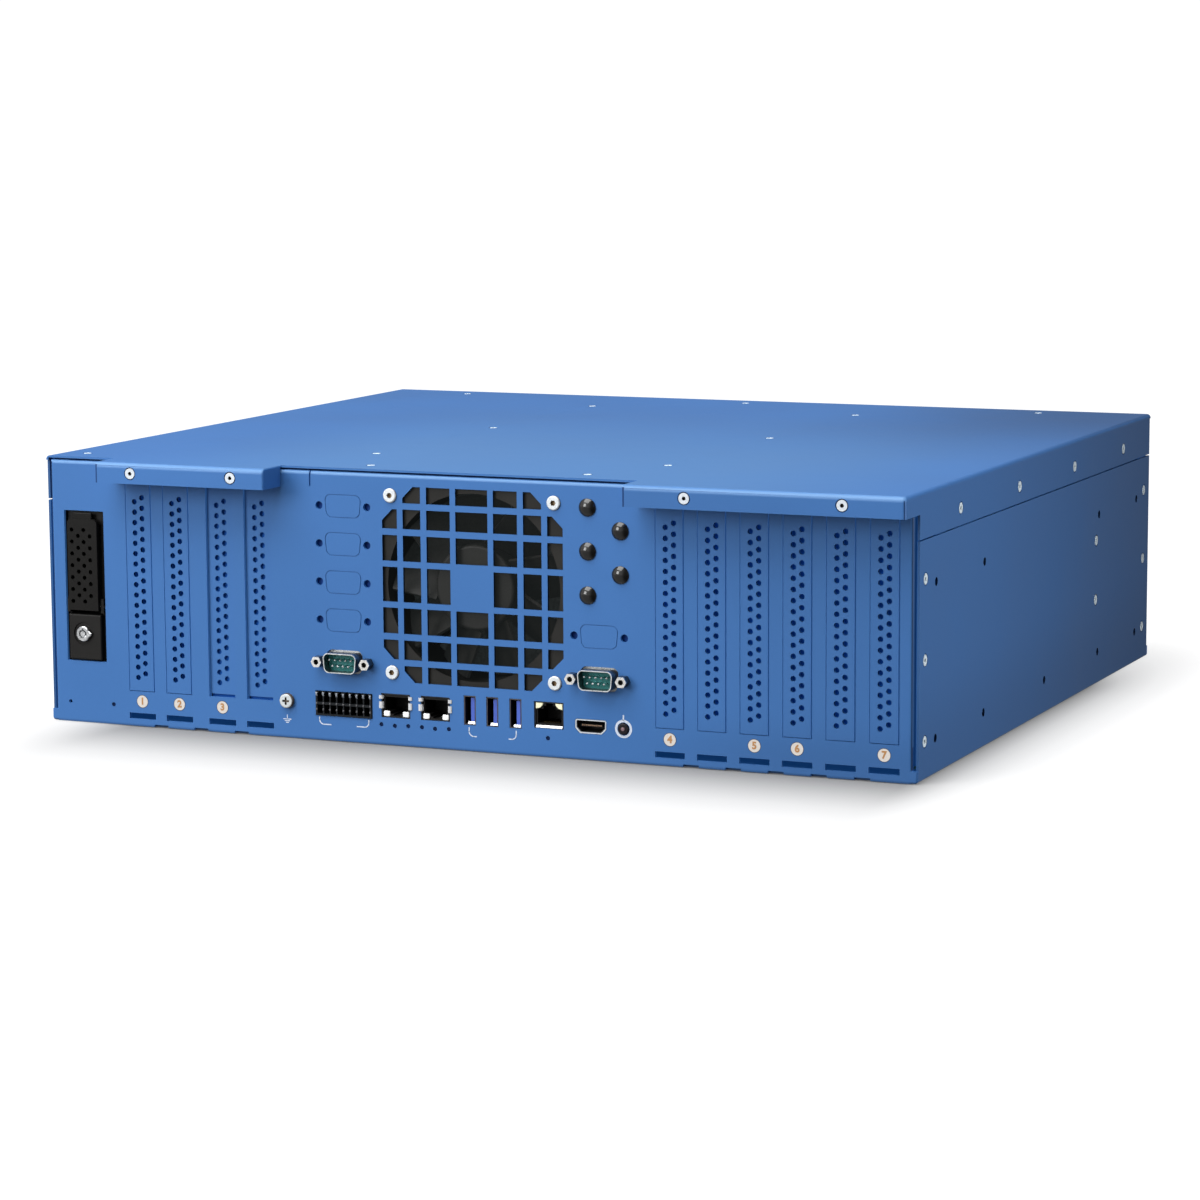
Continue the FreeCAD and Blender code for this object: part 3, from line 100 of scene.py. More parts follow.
def bump(nt, fac, strength, dist):
    b = nt.nodes.new("ShaderNodeBump")
    b.inputs["Strength"].default_value = strength
    b.inputs["Distance"].default_value = dist
    nt.links.new(fac, b.inputs["Height"])
    return b.outputs["Normal"]


def shade(c, k):
    return tuple(min(1.0, max(0.0, v * k)) for v in c)


def depth(nt):
    """Distance behind the panel face, in metres."""
    tc = nt.nodes.new("ShaderNodeTexCoord")
    sep = nt.nodes.new("ShaderNodeSeparateXYZ")
    nt.links.new(tc.outputs["Object"], sep.inputs[0])
    add = nt.nodes.new("ShaderNodeMath")
    add.operation = "SUBTRACT"
    add.inputs[1].default_value = OY / 1000.0
    nt.links.new(sep.outputs["Y"], add.inputs[0])
    return add.outputs[0]


def times(nt, a, b):
    m = nt.nodes.new("ShaderNodeMath")
    m.operation = "MULTIPLY"
    nt.links.new(a, m.inputs[0])
    if isinstance(b, float):
        m.inputs[1].default_value = b
    else:
        nt.links.new(b, m.inputs[1])
    return m.outputs[0]


def darker(nt, col, fac):
    """Colour multiplied by a grey factor."""
    mx = nt.nodes.new("ShaderNodeVectorMath")
    mx.operation = "SCALE"
    nt.links.new(col, mx.inputs[0])
    nt.links.new(fac, mx.inputs["Scale"])
    return mx.outputs[0]


def fade(nt, y0, y1, low):
    """1 up to the depth y0 (millimetres), falling to low at y1."""
    r = nt.nodes.new("ShaderNodeMapRange")
    r.interpolation_type = "SMOOTHSTEP"
    r.inputs["From Min"].default_value = y0 / 1000.0
    r.inputs["From Max"].default_value = y1 / 1000.0
    r.inputs["To Min"].default_value = 1.0
    r.inputs["To Max"].default_value = low
    nt.links.new(depth(nt), r.inputs["Value"])
    return r.outputs["Result"]


def calc(nt, op, a, b=None):
    """One arithmetic node; a and b are sockets or numbers."""
    m = nt.nodes.new("ShaderNodeMath")
    m.operation = op
    for i, v in enumerate((a, b)):
        if v is None:
            continue
        if isinstance(v, (int, float)):
            m.inputs[i].default_value = v
        else:
            nt.links.new(v, m.inputs[i])
    return m.outputs[0]


def across(nt, axis):
    """Coordinate of the part along one axis, in metres."""
    tc = nt.nodes.new("ShaderNodeTexCoord")
    sep = nt.nodes.new("ShaderNodeSeparateXYZ")
    nt.links.new(tc.outputs["Object"], sep.inputs[0])
    return sep.outputs[axis]


def slope(nt, value, a, b, lo=0.0, hi=1.0):
    """Smooth step of a value in metres from lo at a to hi at b, both in millimetres."""
    r = nt.nodes.new("ShaderNodeMapRange")
    r.interpolation_type = "SMOOTHSTEP"
    r.inputs["From Min"].default_value = a / 1000.0
    r.inputs["From Max"].default_value = b / 1000.0
    r.inputs["To Min"].default_value = lo
    r.inputs["To Max"].default_value = hi
    nt.links.new(value, r.inputs["Value"])
    return r.outputs["Result"]


def mixed(nt, fac, a, b):
    """Colour a where fac is 0, colour b where it is 1."""
    mx = nt.nodes.new("ShaderNodeMix")
    mx.data_type = "RGBA"
    nt.links.new(fac, mx.inputs[0])
    for i, v in ((6, a), (7, b)):
        if isinstance(v, tuple):
            mx.inputs[i].default_value = (v[0], v[1], v[2], 1.0)
        else:
            nt.links.new(v, mx.inputs[i])
    return mx.outputs[2]


def fold_highlight_mask(nt):
    """Painted highlight mask: 1 in the middle of the folds between the front and the top, 0 on flat sheet."""
    geo = nt.nodes.new("ShaderNodeNewGeometry")
    sep = nt.nodes.new("ShaderNodeSeparateXYZ")
    nt.links.new(geo.outputs["Normal"], sep.inputs[0])
    yz = calc(nt, "MULTIPLY", sep.outputs["Y"], sep.outputs["Z"])
    return calc(nt, "MAXIMUM", calc(nt, "MULTIPLY", yz, -2.0), 0.0)


def turned(nt, axis, limit=0.7):
    """1 on faces that look along an axis, 0 on the others."""
    geo = nt.nodes.new("ShaderNodeNewGeometry")
    sep = nt.nodes.new("ShaderNodeSeparateXYZ")
    nt.links.new(geo.outputs["True Normal"], sep.inputs[0])
    return calc(nt, "GREATER_THAN", calc(nt, "ABSOLUTE", sep.outputs[axis]), limit)


def at_fan(nt):
    """1 inside the outline of the front fan opening, 0 beside it."""
    off = calc(nt, "ABSOLUTE", calc(nt, "SUBTRACT", across(nt, "X"), 0.0054))
    up = calc(nt, "ABSOLUTE", calc(nt, "SUBTRACT", across(nt, "Z"), 0.0755))
    return calc(nt, "MULTIPLY", calc(nt, "LESS_THAN", off, 0.0462), calc(nt, "LESS_THAN", up, 0.0462))


def cut_walls(nt):
    """Cut sheet walls inside the fan opening."""
    side = calc(nt, "SUBTRACT", 1.0, turned(nt, "Y", 0.5))
    near = calc(nt, "MULTIPLY", slope(nt, depth(nt), 0.02, 0.12), slope(nt, depth(nt), 3.0, 2.5))
    return calc(nt, "MULTIPLY", calc(nt, "MULTIPLY", side, near), at_fan(nt))


def panel_wall_shade(nt):
    """Painted shade mask: cut walls of the fan opening, and the folds into the gaps at both ends of the panel."""
    geo = nt.nodes.new("ShaderNodeNewGeometry")
    sep = nt.nodes.new("ShaderNodeSeparateXYZ")
    nt.links.new(geo.outputs["Normal"], sep.inputs[0])
    fold = slope(nt, calc(nt, "ABSOLUTE", sep.outputs["X"]), 300.0, 750.0)
    end = slope(nt, calc(nt, "ABSOLUTE", across(nt, "X")), 214.0, 215.0)
    end = calc(nt, "MULTIPLY", end, slope(nt, across(nt, "Z"), 5.6, 6.2))
    return calc(nt, "MAXIMUM", cut_walls(nt), calc(nt, "MULTIPLY", fold, end))


def rail_bore_shade(nt):
    """Painted shade mask: bores for the slide rails in the side walls."""
    side = calc(nt, "SUBTRACT", 1.0, turned(nt, "X", 0.5))
    x = calc(nt, "ABSOLUTE", across(nt, "X"))
    x = calc(nt, "MULTIPLY", slope(nt, x, 216.0, 216.2), slope(nt, x, 219.98, 219.9))
    z = calc(nt, "MULTIPLY", slope(nt, across(nt, "Z"), 10.0, 11.0), slope(nt, across(nt, "Z"), 100.0, 99.0))
    y = calc(nt, "MULTIPLY", slope(nt, depth(nt), 18.0, 19.0), slope(nt, depth(nt), 362.0, 361.0))
    return calc(nt, "MULTIPLY", calc(nt, "MULTIPLY", side, x), calc(nt, "MULTIPLY", y, z))


def slot_walls(nt):
    """Walls of the thin seams beside the slot brackets, where a lighter painted glow goes."""
    near = calc(nt, "MULTIPLY", slope(nt, depth(nt), 0.02, 0.15), slope(nt, depth(nt), 2.2, 1.6))
    row = calc(nt, "MULTIPLY", slope(nt, across(nt, "Z"), 16.0, 16.4), slope(nt, across(nt, "Z"), 119.5, 119.0))
    wide = slope(nt, calc(nt, "ABSOLUTE", calc(nt, "ADD", across(nt, "X"), 0.0085)), 96.0, 97.0)
    return calc(nt, "MULTIPLY", calc(nt, "MULTIPLY", near, row), calc(nt, "MULTIPLY", turned(nt, "X"), wide))


def field_walls(nt):
    """The upright walls of the raised bracket fields, without the walls of their vents."""
    x, total = across(nt, "X"), None
    for c in SLOTS_L + SLOTS_R:
        for e in (-6.7, 6.35):
            hit = nt.nodes.new("ShaderNodeMath")
            hit.operation = "COMPARE"
            hit.inputs[1].default_value = (c + e + OX) / 1000.0
            hit.inputs[2].default_value = 0.0003
            nt.links.new(x, hit.inputs[0])
            total = hit.outputs[0] if total is None else calc(nt, "MAXIMUM", total, hit.outputs[0])
    return calc(nt, "MULTIPLY", slot_walls(nt), total)


# places on the painted sheets that lie in a seam, a cut or a hole, where the painted glow goes
def behind_front(nt):
    return calc(nt, "MULTIPLY", slope(nt, depth(nt), 0.3, 1.2), calc(nt, "SUBTRACT", 1.0, at_fan(nt)))


def behind_brackets(nt):
    return slope(nt, depth(nt), 1.55, 2.1)


def vent_wall_shade(nt):
    """Painted shade mask: punched walls of the vents on the left side."""
    side = calc(nt, "SUBTRACT", 1.0, turned(nt, "Y", 0.5))
    x, near = across(nt, "X"), None
    for c in SLOTS_L:
        hit = calc(nt, "LESS_THAN", calc(nt, "ABSOLUTE", calc(nt, "SUBTRACT", x, (c + OX) / 1000.0)), 0.0052)
        near = hit if near is None else calc(nt, "MAXIMUM", near, hit)
    return calc(nt, "MULTIPLY", calc(nt, "MULTIPLY", side, near), slope(nt, across(nt, "Z"), 18.6, 18.9))


def right_end_shade(nt):
    """Painted shade: the coat darker toward the right end of the front and toward its foot."""
    x = across(nt, "X")
    low = calc(nt, "MULTIPLY", slope(nt, across(nt, "Z"), 30.0, 6.0), slope(nt, x, 40.0, 180.0))
    return calc(nt, "MULTIPLY", slope(nt, x, 70.0, 200.0, 1.0, 0.85), calc(nt, "SUBTRACT", 1.0, calc(nt, "MULTIPLY", low, 0.13)))


def cover_shade(nt):
    """Painted shade: darker on the front face of the right hood, and on the lid toward its back right corner."""
    geo = nt.nodes.new("ShaderNodeNewGeometry")
    sep = nt.nodes.new("ShaderNodeSeparateXYZ")
    nt.links.new(geo.outputs["Normal"], sep.inputs[0])
    back = calc(nt, "MULTIPLY", slope(nt, depth(nt), 110.0, 370.0), slope(nt, across(nt, "X"), 30.0, 215.0))
    back = calc(nt, "MULTIPLY", back, slope(nt, sep.outputs["Z"], 500.0, 950.0))
    lid = calc(nt, "SUBTRACT", 1.0, calc(nt, "MULTIPLY", back, 0.45))
    face = calc(nt, "MULTIPLY", turned(nt, "Y", 0.9), slope(nt, depth(nt), -10.0, -11.0))
    face = calc(nt, "MULTIPLY", face, slope(nt, across(nt, "X"), 20.0, 100.0))
    return calc(nt, "MULTIPLY", lid, calc(nt, "SUBTRACT", 1.0, calc(nt, "MULTIPLY", face, 0.09)))


def low_side_shade(nt):
    """Painted shade: the side walls darker toward the floor."""
    return slope(nt, across(nt, "Z"), 4.0, 55.0, 0.85, 1.0)


def hood_end_bounce(nt):
    """Painted bounce light mask: end walls of the hoods beside the fan, coloured a brighter blue as if lit by light off
    the panel.
    """
    near = calc(nt, "MULTIPLY", slope(nt, depth(nt), -0.2, -0.8), slope(nt, across(nt, "X"), 120.0, 119.0))
    return calc(nt, "MULTIPLY", turned(nt, "X", 0.8), calc(nt, "MULTIPLY", near, slope(nt, across(nt, "X"), -184.0, -183.0)))


def lid_sheen_mask(nt):
    """Painted sheen mask: the upper side of the lid, full in its front half and fading to the back and left."""
    geo = nt.nodes.new("ShaderNodeNewGeometry")
    sep = nt.nodes.new("ShaderNodeSeparateXYZ")
    nt.links.new(geo.outputs["Normal"], sep.inputs[0])
    up = slope(nt, sep.outputs["Z"], 500.0, 950.0)
    back = calc(nt, "MULTIPLY", slope(nt, depth(nt), 340.0, 60.0), slope(nt, across(nt, "X"), -190.0, -60.0))
    back = calc(nt, "MULTIPLY", back, slope(nt, across(nt, "X"), 250.0, 100.0))
    return calc(nt, "MULTIPLY", up, back)


# places on the rear panel and inside the side walls where the painted glow goes
def behind_rear(nt):
    d = depth(nt)
    edge = slope(nt, calc(nt, "ABSOLUTE", across(nt, "X")), 216.0, 216.5)
    return calc(nt, "MULTIPLY", slope(nt, d, 379.7, 378.8), edge)


def inside_walls(nt):
    x = slope(nt, calc(nt, "ABSOLUTE", across(nt, "X")), 218.95, 218.85)
    z = slope(nt, across(nt, "Z"), 1.0, 1.15)
    return calc(nt, "MULTIPLY", calc(nt, "MULTIPLY", x, z), slope(nt, depth(nt), 40.0, 25.0))


def sheet_edges(nt, depths):
    """1 on the cut sheet edges that face along y at the given depths, 0 elsewhere."""
    geo = nt.nodes.new("ShaderNodeNewGeometry")
    sep = nt.nodes.new("ShaderNodeSeparateXYZ")
    nt.links.new(geo.outputs["True Normal"], sep.inputs[0])
    ab = nt.nodes.new("ShaderNodeMath")
    ab.operation = "ABSOLUTE"
    nt.links.new(sep.outputs["Y"], ab.inputs[0])
    gt = nt.nodes.new("ShaderNodeMath")
    gt.operation = "GREATER_THAN"
    gt.inputs[1].default_value = 0.9
    nt.links.new(ab.outputs[0], gt.inputs[0])
    d = depth(nt)
    total = None
    for y in depths:
        c = nt.nodes.new("ShaderNodeMath")
        c.operation = "COMPARE"
        c.inputs[1].default_value = y / 1000.0
        c.inputs[2].default_value = 0.00025
        nt.links.new(d, c.inputs[0])
        if total is None:
            total = c.outputs[0]
        else:
            mx = nt.nodes.new("ShaderNodeMath")
            mx.operation = "MAXIMUM"
            nt.links.new(total, mx.inputs[0])
            nt.links.new(c.outputs[0], mx.inputs[1])
            total = mx.outputs[0]
    return times(nt, gt.outputs[0], total)


def paint(name, col, rough=0.42, edges=(), gaps=None, highlight_folds=False, foot=False, walls=None, seams=None,
          painted_sheen=None, painted_shade=None):
    """Powder coat: fine orange peel, faint cloudiness, tiny gloss changes."""
    m, nt, p = new_mat(name)
    v = coords(nt, (1, 1, 1))
    cloud = noise(nt, v, 9.0, 3.0, 0.55)
    grain = noise(nt, v, 1900.0, 2.0, 0.6)
    both = calc(nt, "ADD", times(nt, grain, 0.35), times(nt, cloud, 0.65))
    c = ramp(nt, both, [(0.30, shade(col, 0.94)), (0.5, col), (0.70, shade(col, 1.05))])
    if highlight_folds:
        # painted highlight: the folds between front and top are coloured a lighter blue where the light catches them
        c = mixed(nt, fold_highlight_mask(nt), c, FOLD_HIGHLIGHT)
    # painted shade: sheet edges that stand in the seams are coloured a darker blue, as the shade in those gaps
    for depths, tone in edges:
        c = mixed(nt, sheet_edges(nt, depths), c, tone)
    # painted shade: the coat darkens toward its lower edge, as the contact shade along the floor
    if foot:
        c = darker(nt, c, slope(nt, across(nt, "Z"), 0.0, 1.4, 0.55, 1.0))
    # painted shade on the walls of cuts, bores and vents, and painted bounce light on the hood ends
    if walls:
        c = mixed(nt, walls[0](nt), c, walls[1])
    # painted sheen: the lid's top is coloured lighter toward its front, as the reflection of the light
    if painted_sheen:
        c = mixed(nt, painted_sheen(nt), c, LID_SHEEN_BLUE)
    # painted shade: the coat is darkened where less light falls on it
    if painted_shade:
        c = darker(nt, c, painted_shade(nt))
    nt.links.new(c, p.inputs["Base Color"])
    nt.links.new(remap(nt, cloud, rough - 0.03, rough + 0.04), p.inputs["Roughness"])
    peel = noise(nt, v, 900.0, 2.0, 0.5)
    nt.links.new(bump(nt, peel, 0.10, 0.00012), p.inputs["Normal"])
    p.inputs["Specular IOR Level"].default_value = SHEEN
    if gaps:
        # painted glow: seams, cuts and holes between the painted sheets give off a faint blue light, standing in for
        # light bounced into them
        light = times(nt, gaps(nt), GAP_LIGHT)
        if seams:
            w = seams(nt)
            nt.links.new(mixed(nt, w, (0.03, 0.25, 1.0), (0.10, 0.36, 1.0)), p.inputs["Emission Color"])
            light = calc(nt, "MAXIMUM", light, times(nt, w, SEAM_LIGHT))
        else:
            p.inputs["Emission Color"].default_value = (0.03, 0.25, 1.0, 1.0)
        nt.links.new(light, p.inputs["Emission Strength"])
    return m


def screw(name, col, rough, low, metallic=0.4, socket_shade_tone=(0.02, 0.014, 0.009)):
    """Plated screw head with a turned sheen; its drive socket is coloured dark brown: the brassy metal of the drive,
    darkened as painted shade.
    """
    m, nt, p = new_mat(name)
    v = coords(nt, (900, 900, 900))
    n = noise(nt, v, 1.0, 3.0, 0.6)
    c = ramp(nt, n, [(0.25, shade(col, 0.88)), (0.55, col), (0.8, shade(col, 1.04))])
    nt.links.new(mixed(nt, low(nt), c, socket_shade_tone), p.inputs["Base Color"])
    p.inputs["Metallic"].default_value = metallic
    nt.links.new(remap(nt, n, rough - 0.05, rough + 0.06), p.inputs["Roughness"])
    nt.links.new(bump(nt, n, 0.06, 0.00005), p.inputs["Normal"])
    return m


# how far a point lies inside the face that its screw is let into; the painted socket shade goes there
def in_cover(nt):
    side = calc(nt, "SUBTRACT", 0.220, calc(nt, "ABSOLUTE", across(nt, "X")))
    return slope(nt, calc(nt, "MINIMUM", side, calc(nt, "SUBTRACT", 0.1285, across(nt, "Z"))), 0.15, 0.7)


def in_hood(nt):
    return slope(nt, depth(nt), -17.3, -16.8)


def in_panels(nt):
    d = depth(nt)
    return slope(nt, calc(nt, "MINIMUM", calc(nt, "ADD", d, 0.001), calc(nt, "SUBTRACT", 0.381, d)), 0.2, 0.8)


def in_earth(nt):
    return slope(nt, depth(nt), -2.12, -1.9)


def metal(name, col, rough, grain_scale=(900, 900, 900), amount=0.06, metallic=1.0, depth_shade=None):
    m, nt, p = new_mat(name)
    v = coords(nt, grain_scale)
    n = noise(nt, v, 1.0, 3.0, 0.6)
    c = ramp(nt, n, [(0.25, shade(col, 0.86)), (0.55, col), (0.8, shade(col, 1.06))])
    # painted shade: darker with depth behind the panel face
    if depth_shade:
        c = darker(nt, c, fade(nt, *depth_shade))
    nt.links.new(c, p.inputs["Base Color"])
    p.inputs["Metallic"].default_value = metallic
    nt.links.new(remap(nt, n, rough - amount, rough + amount), p.inputs["Roughness"])
    nt.links.new(bump(nt, n, 0.08, 0.00005), p.inputs["Normal"])
    return m


def plastic(name, col, rough, scale=1400.0, strength=0.12, spread=0.25, depth_shade=None, spec=0.5, painted_glow=0.0):
    """Moulded plastic with a fine spark-eroded texture."""
    m, nt, p = new_mat(name)
    v = coords(nt, (1, 1, 1))
    n = noise(nt, v, scale, 2.0, 0.6)
    w = noise(nt, v, 60.0, 3.0, 0.5)
    c = ramp(nt, w, [(0.25, shade(col, 1.0 - spread)), (0.75, shade(col, 1.0 + spread))])
    # painted shade: darker with depth behind the panel face
    if depth_shade:
        c = darker(nt, c, fade(nt, *depth_shade))
    nt.links.new(c, p.inputs["Base Color"])
    p.inputs["Specular IOR Level"].default_value = spec
    if painted_glow:
        # painted glow: the plastic gives off a faint light, standing in for the light that reaches into the fan
        p.inputs["Emission Color"].default_value = (0.84, 1.0, 1.0, 1.0)
        nt.links.new(remap(nt, n, painted_glow * 0.75, painted_glow * 1.25), p.inputs["Emission Strength"])
    nt.links.new(remap(nt, n, rough - 0.05, rough + 0.06), p.inputs["Roughness"])
    nt.links.new(bump(nt, n, strength, 0.0001), p.inputs["Normal"])
    return m


def board(name, col):
    """Solder mask over faint copper tracks and vias."""
    m, nt, p = new_mat(name)
    v = coords(nt, (1, 1, 1))
    br = nt.nodes.new("ShaderNodeTexBrick")
    br.inputs["Scale"].default_value = 160.0
    br.inputs["Mortar Size"].default_value = 0.03
    br.inputs["Color1"].default_value = (*shade(col, 0.9), 1)
    br.inputs["Color2"].default_value = (*shade(col, 1.1), 1)
    br.inputs["Mortar"].default_value = (*shade(col, 1.9), 1)
    nt.links.new(v, br.inputs["Vector"])
    nt.links.new(br.outputs["Color"], p.inputs["Base Color"])
    n = noise(nt, v, 300.0, 2.0)
    nt.links.new(remap(nt, n, 0.28, 0.42), p.inputs["Roughness"])
    nt.links.new(bump(nt, br.outputs["Fac"], 0.1, 0.0001), p.inputs["Normal"])
    return m


def ink(name, col):
    """Screen-printed ink, slightly uneven in cover."""
    m, nt, p = new_mat(name)
    v = coords(nt, (1, 1, 1))
    n = noise(nt, v, 2600.0, 2.0, 0.6)
    c = ramp(nt, n, [(0.25, shade(col, 0.88)), (0.6, col)])
    nt.links.new(c, p.inputs["Base Color"])
    nt.links.new(remap(nt, n, 0.5, 0.65), p.inputs["Roughness"])
    return m


BLUE = (0.0372, 0.119, 0.312)
# lighter blue painted along the front folds as their highlight
FOLD_HIGHLIGHT = (0.095, 0.20, 0.38)
# darker blues painted on the sheet edges in the seams, as their shade
SEAM_SHADE_BLUE = (0.008, 0.036, 0.125)
EDGE_SHADE_BLUE = (0.021, 0.071, 0.187)
SHEEN = 0.15
# strengths of the painted glow in the seams and holes
GAP_LIGHT = 0.10
SEAM_LIGHT = 0.14
# lighter blue painted on the lid's top as its sheen
LID_SHEEN_BLUE = (0.054, 0.146, 0.330)
# brighter blue painted on the hood end walls, as bounce light
END_BOUNCE_BLUE = (0.039, 0.148, 0.435)
# dark blue painted on the walls of cuts and bores, as their shade
WALL_SHADE_BLUE = (0.004, 0.012, 0.036)
# navy painted on the vent walls, as the shade inside them
VENT_SHADE_BLUE = (0.004, 0.046, 0.190)
M = {
    "case_paint": paint("case_paint", BLUE),
    "screw_steel": metal("screw_steel", (0.90, 0.90, 0.89), 0.36, metallic=0.45),
    "bright_steel": metal("bright_steel", (0.72, 0.73, 0.75), 0.28),
    "black_plastic": plastic("black_plastic", (0.0055, 0.005, 0.0048), 0.5, spec=0.16),
    "gloss_black": plastic("gloss_black", (0.005, 0.0048, 0.0045), 0.13, 500.0, 0.02),
    "green_plastic": plastic("green_plastic", (0.017, 0.140, 0.136), 0.45, spec=0.25),
    "blue_plastic": plastic("blue_plastic", (0.034, 0.076, 0.36), 0.38, depth_shade=(3.0, 8.0, 0.02)),
    "gold_contact": metal("gold_contact", (0.85, 0.62, 0.26), 0.25),
    "board_green": board("board_green", (0.012, 0.075, 0.035)),
    "alu_fin": metal("alu_fin", (0.80, 0.81, 0.82), 0.36, (60, 1500, 1500)),
    "zinc_sheet": metal("zinc_sheet", (0.52, 0.53, 0.54), 0.42, (130, 130, 130), 0.1),
    "gasket_foam": plastic("gasket_foam", (0.006, 0.014, 0.045), 0.9, 700.0, 0.5, spec=0.1),
    "clear_pipe": plastic("clear_pipe", (0.0020, 0.010, 0.045), 0.2, 600.0, 0.02, spec=0.12),
    "lead_jacket": plastic("lead_jacket", (0.014, 0.014, 0.015), 0.55),
}
# variants of the same finishes where a node needs them, carrying painted shade, glow, sheen and highlights
PANEL_PAINT = paint("panel_paint", BLUE, gaps=behind_front, highlight_folds=True, foot=True, walls=(panel_wall_shade, WALL_SHADE_BLUE), seams=slot_walls,
                    painted_shade=right_end_shade)
REAR_PAINT = paint("rear_paint", BLUE, gaps=behind_rear)
BRACKET_PAINT = paint("bracket_paint", BLUE, gaps=behind_brackets, seams=field_walls, walls=(vent_wall_shade, VENT_SHADE_BLUE), painted_shade=right_end_shade)
COVER_PAINT = paint("cover_paint", BLUE, edges=[((-17.0,), SEAM_SHADE_BLUE), ((1.6, 378.4), EDGE_SHADE_BLUE)], highlight_folds=True,
                    walls=(hood_end_bounce, END_BOUNCE_BLUE), painted_sheen=lid_sheen_mask, painted_shade=cover_shade)
PAN_PAINT = paint("pan_paint", BLUE, edges=[((1.6, 378.4), EDGE_SHADE_BLUE)], gaps=inside_walls, foot=True, walls=(rail_bore_shade, WALL_SHADE_BLUE),
                  painted_shade=low_side_shade)
# painted highlight: the screws in the less lit lid and sides get a brighter, bluish copy of the plating than the front
# screws, as their glints
BRIGHT_COVER_SCREW = screw("cover_screw", (0.78, 0.90, 0.98), 0.38, in_cover, 0.25)
HOOD_SCREW = screw("hood_screw", (0.50, 0.54, 0.58), 0.40, in_hood, 0.2)
FAN_SCREW = screw("fan_screw", (0.55, 0.58, 0.60), 0.40, in_panels, 0.2, (0.22, 0.14, 0.06))
LOCK_STEEL = metal("lock_steel", (0.58, 0.59, 0.60), 0.28)
EARTH_SCREW = screw("earth_screw", (0.47, 0.50, 0.51), 0.40, in_earth, 0.2, (0.10, 0.075, 0.05))
# painted shade: the socket shields, shells and contacts get darker copies of steel and gold, as they sit in the
# sockets' shade
SHADED_NETWORK_STEEL = metal("network_steel", (0.035, 0.035, 0.037), 0.35, depth_shade=(0.9, 3.0, 0.2))
NETWORK_GOLD = metal("network_gold", (0.85, 0.62, 0.26), 0.25, depth_shade=(1.0, 4.0, 0.06))
SHADED_VIDEO_GOLD = metal("video_gold", (0.11, 0.070, 0.045), 0.4)
SHADED_BUS_STEEL = metal("bus_steel", (0.11, 0.10, 0.105), 0.34, depth_shade=(2.0, 5.0, 0.05))
VIDEO_STEEL = metal("video_steel", (0.62, 0.66, 0.70), 0.32, depth_shade=(0.5, 1.6, 0.05), metallic=0.6)
PORT_STEEL = metal("port_steel", (0.74, 0.76, 0.77), 0.30, depth_shade=(-5.5, -4.8, 0.30))
POST_STEEL = metal("post_steel", (0.80, 0.79, 0.77), 0.30, depth_shade=(-4.9, -3.8, 0.14))
PIN_STEEL = metal("pin_steel", (0.72, 0.73, 0.75), 0.28, depth_shade=(-0.5, 2.5, 0.25))
SPRING_STEEL = metal("spring_steel", (0.60, 0.61, 0.63), 0.32, metallic=0.4)
HEADER_BLACK = plastic("header_black", (0.0075, 0.0090, 0.0110), 0.5, spec=0.12, depth_shade=(-0.4, 1.0, 0.25))
RIDGE_HIGHLIGHT_GREY = plastic("ridge_grey", (0.17, 0.19, 0.22), 0.4)
BUMP_HIGHLIGHT_GREY = plastic("bump_grey", (0.055, 0.055, 0.060), 0.4)
LEVER_BLACK = plastic("lever_black", (0.0040, 0.0037, 0.0034), 0.42, spec=0.12)
TRAY_BLACK = plastic("tray_black", (0.0055, 0.005, 0.0046), 0.5, spec=0.16, depth_shade=(0.8, 5.0, 0.15))
DRIVE_BLACK = plastic("drive_black", (0.0045, 0.0042, 0.004), 0.6, spec=0.08)
# the fan parts carry painted glow
FAN_PLASTIC = plastic("fan_plastic", (0.0108, 0.0098, 0.0085), 0.5, spec=0.16, painted_glow=0.0035)
ROTOR_PLASTIC = plastic("rotor_plastic", (0.0064, 0.0058, 0.0050), 0.5, spec=0.16, painted_glow=0.0100)
FAN_WEAVE = plastic("fan_weave", (0.012, 0.012, 0.012), 0.7, 900.0, 0.5, 0.3, spec=0.1, painted_glow=0.0160)
LENS_WHITE = plastic("lens_white", (0.74, 0.76, 0.76), 0.25, 700.0, 0.02, 0.04)
LENS_CREAM = plastic("lens_cream", (0.74, 0.72, 0.50), 0.25, 700.0, 0.02, 0.04)
ROSE_HIGHLIGHT_LENS = plastic("lens_rose", (0.16, 0.10, 0.115), 0.25, 700.0, 0.02, 0.06)
BUTTON_BLACK = plastic("button_black", (0.0065, 0.0048, 0.0072), 0.32, 700.0, 0.04, spec=0.2)
WHITE_INK = ink("white_ink", (0.50, 0.465, 0.43))
LIGHT_INK = ink("light_ink", (0.45, 0.50, 0.59))
BROWN_INK = ink("brown_ink", (0.33, 0.16, 0.05))
RIM_SHADE_INK = ink("rim_shade_ink", (0.012, 0.030, 0.075))
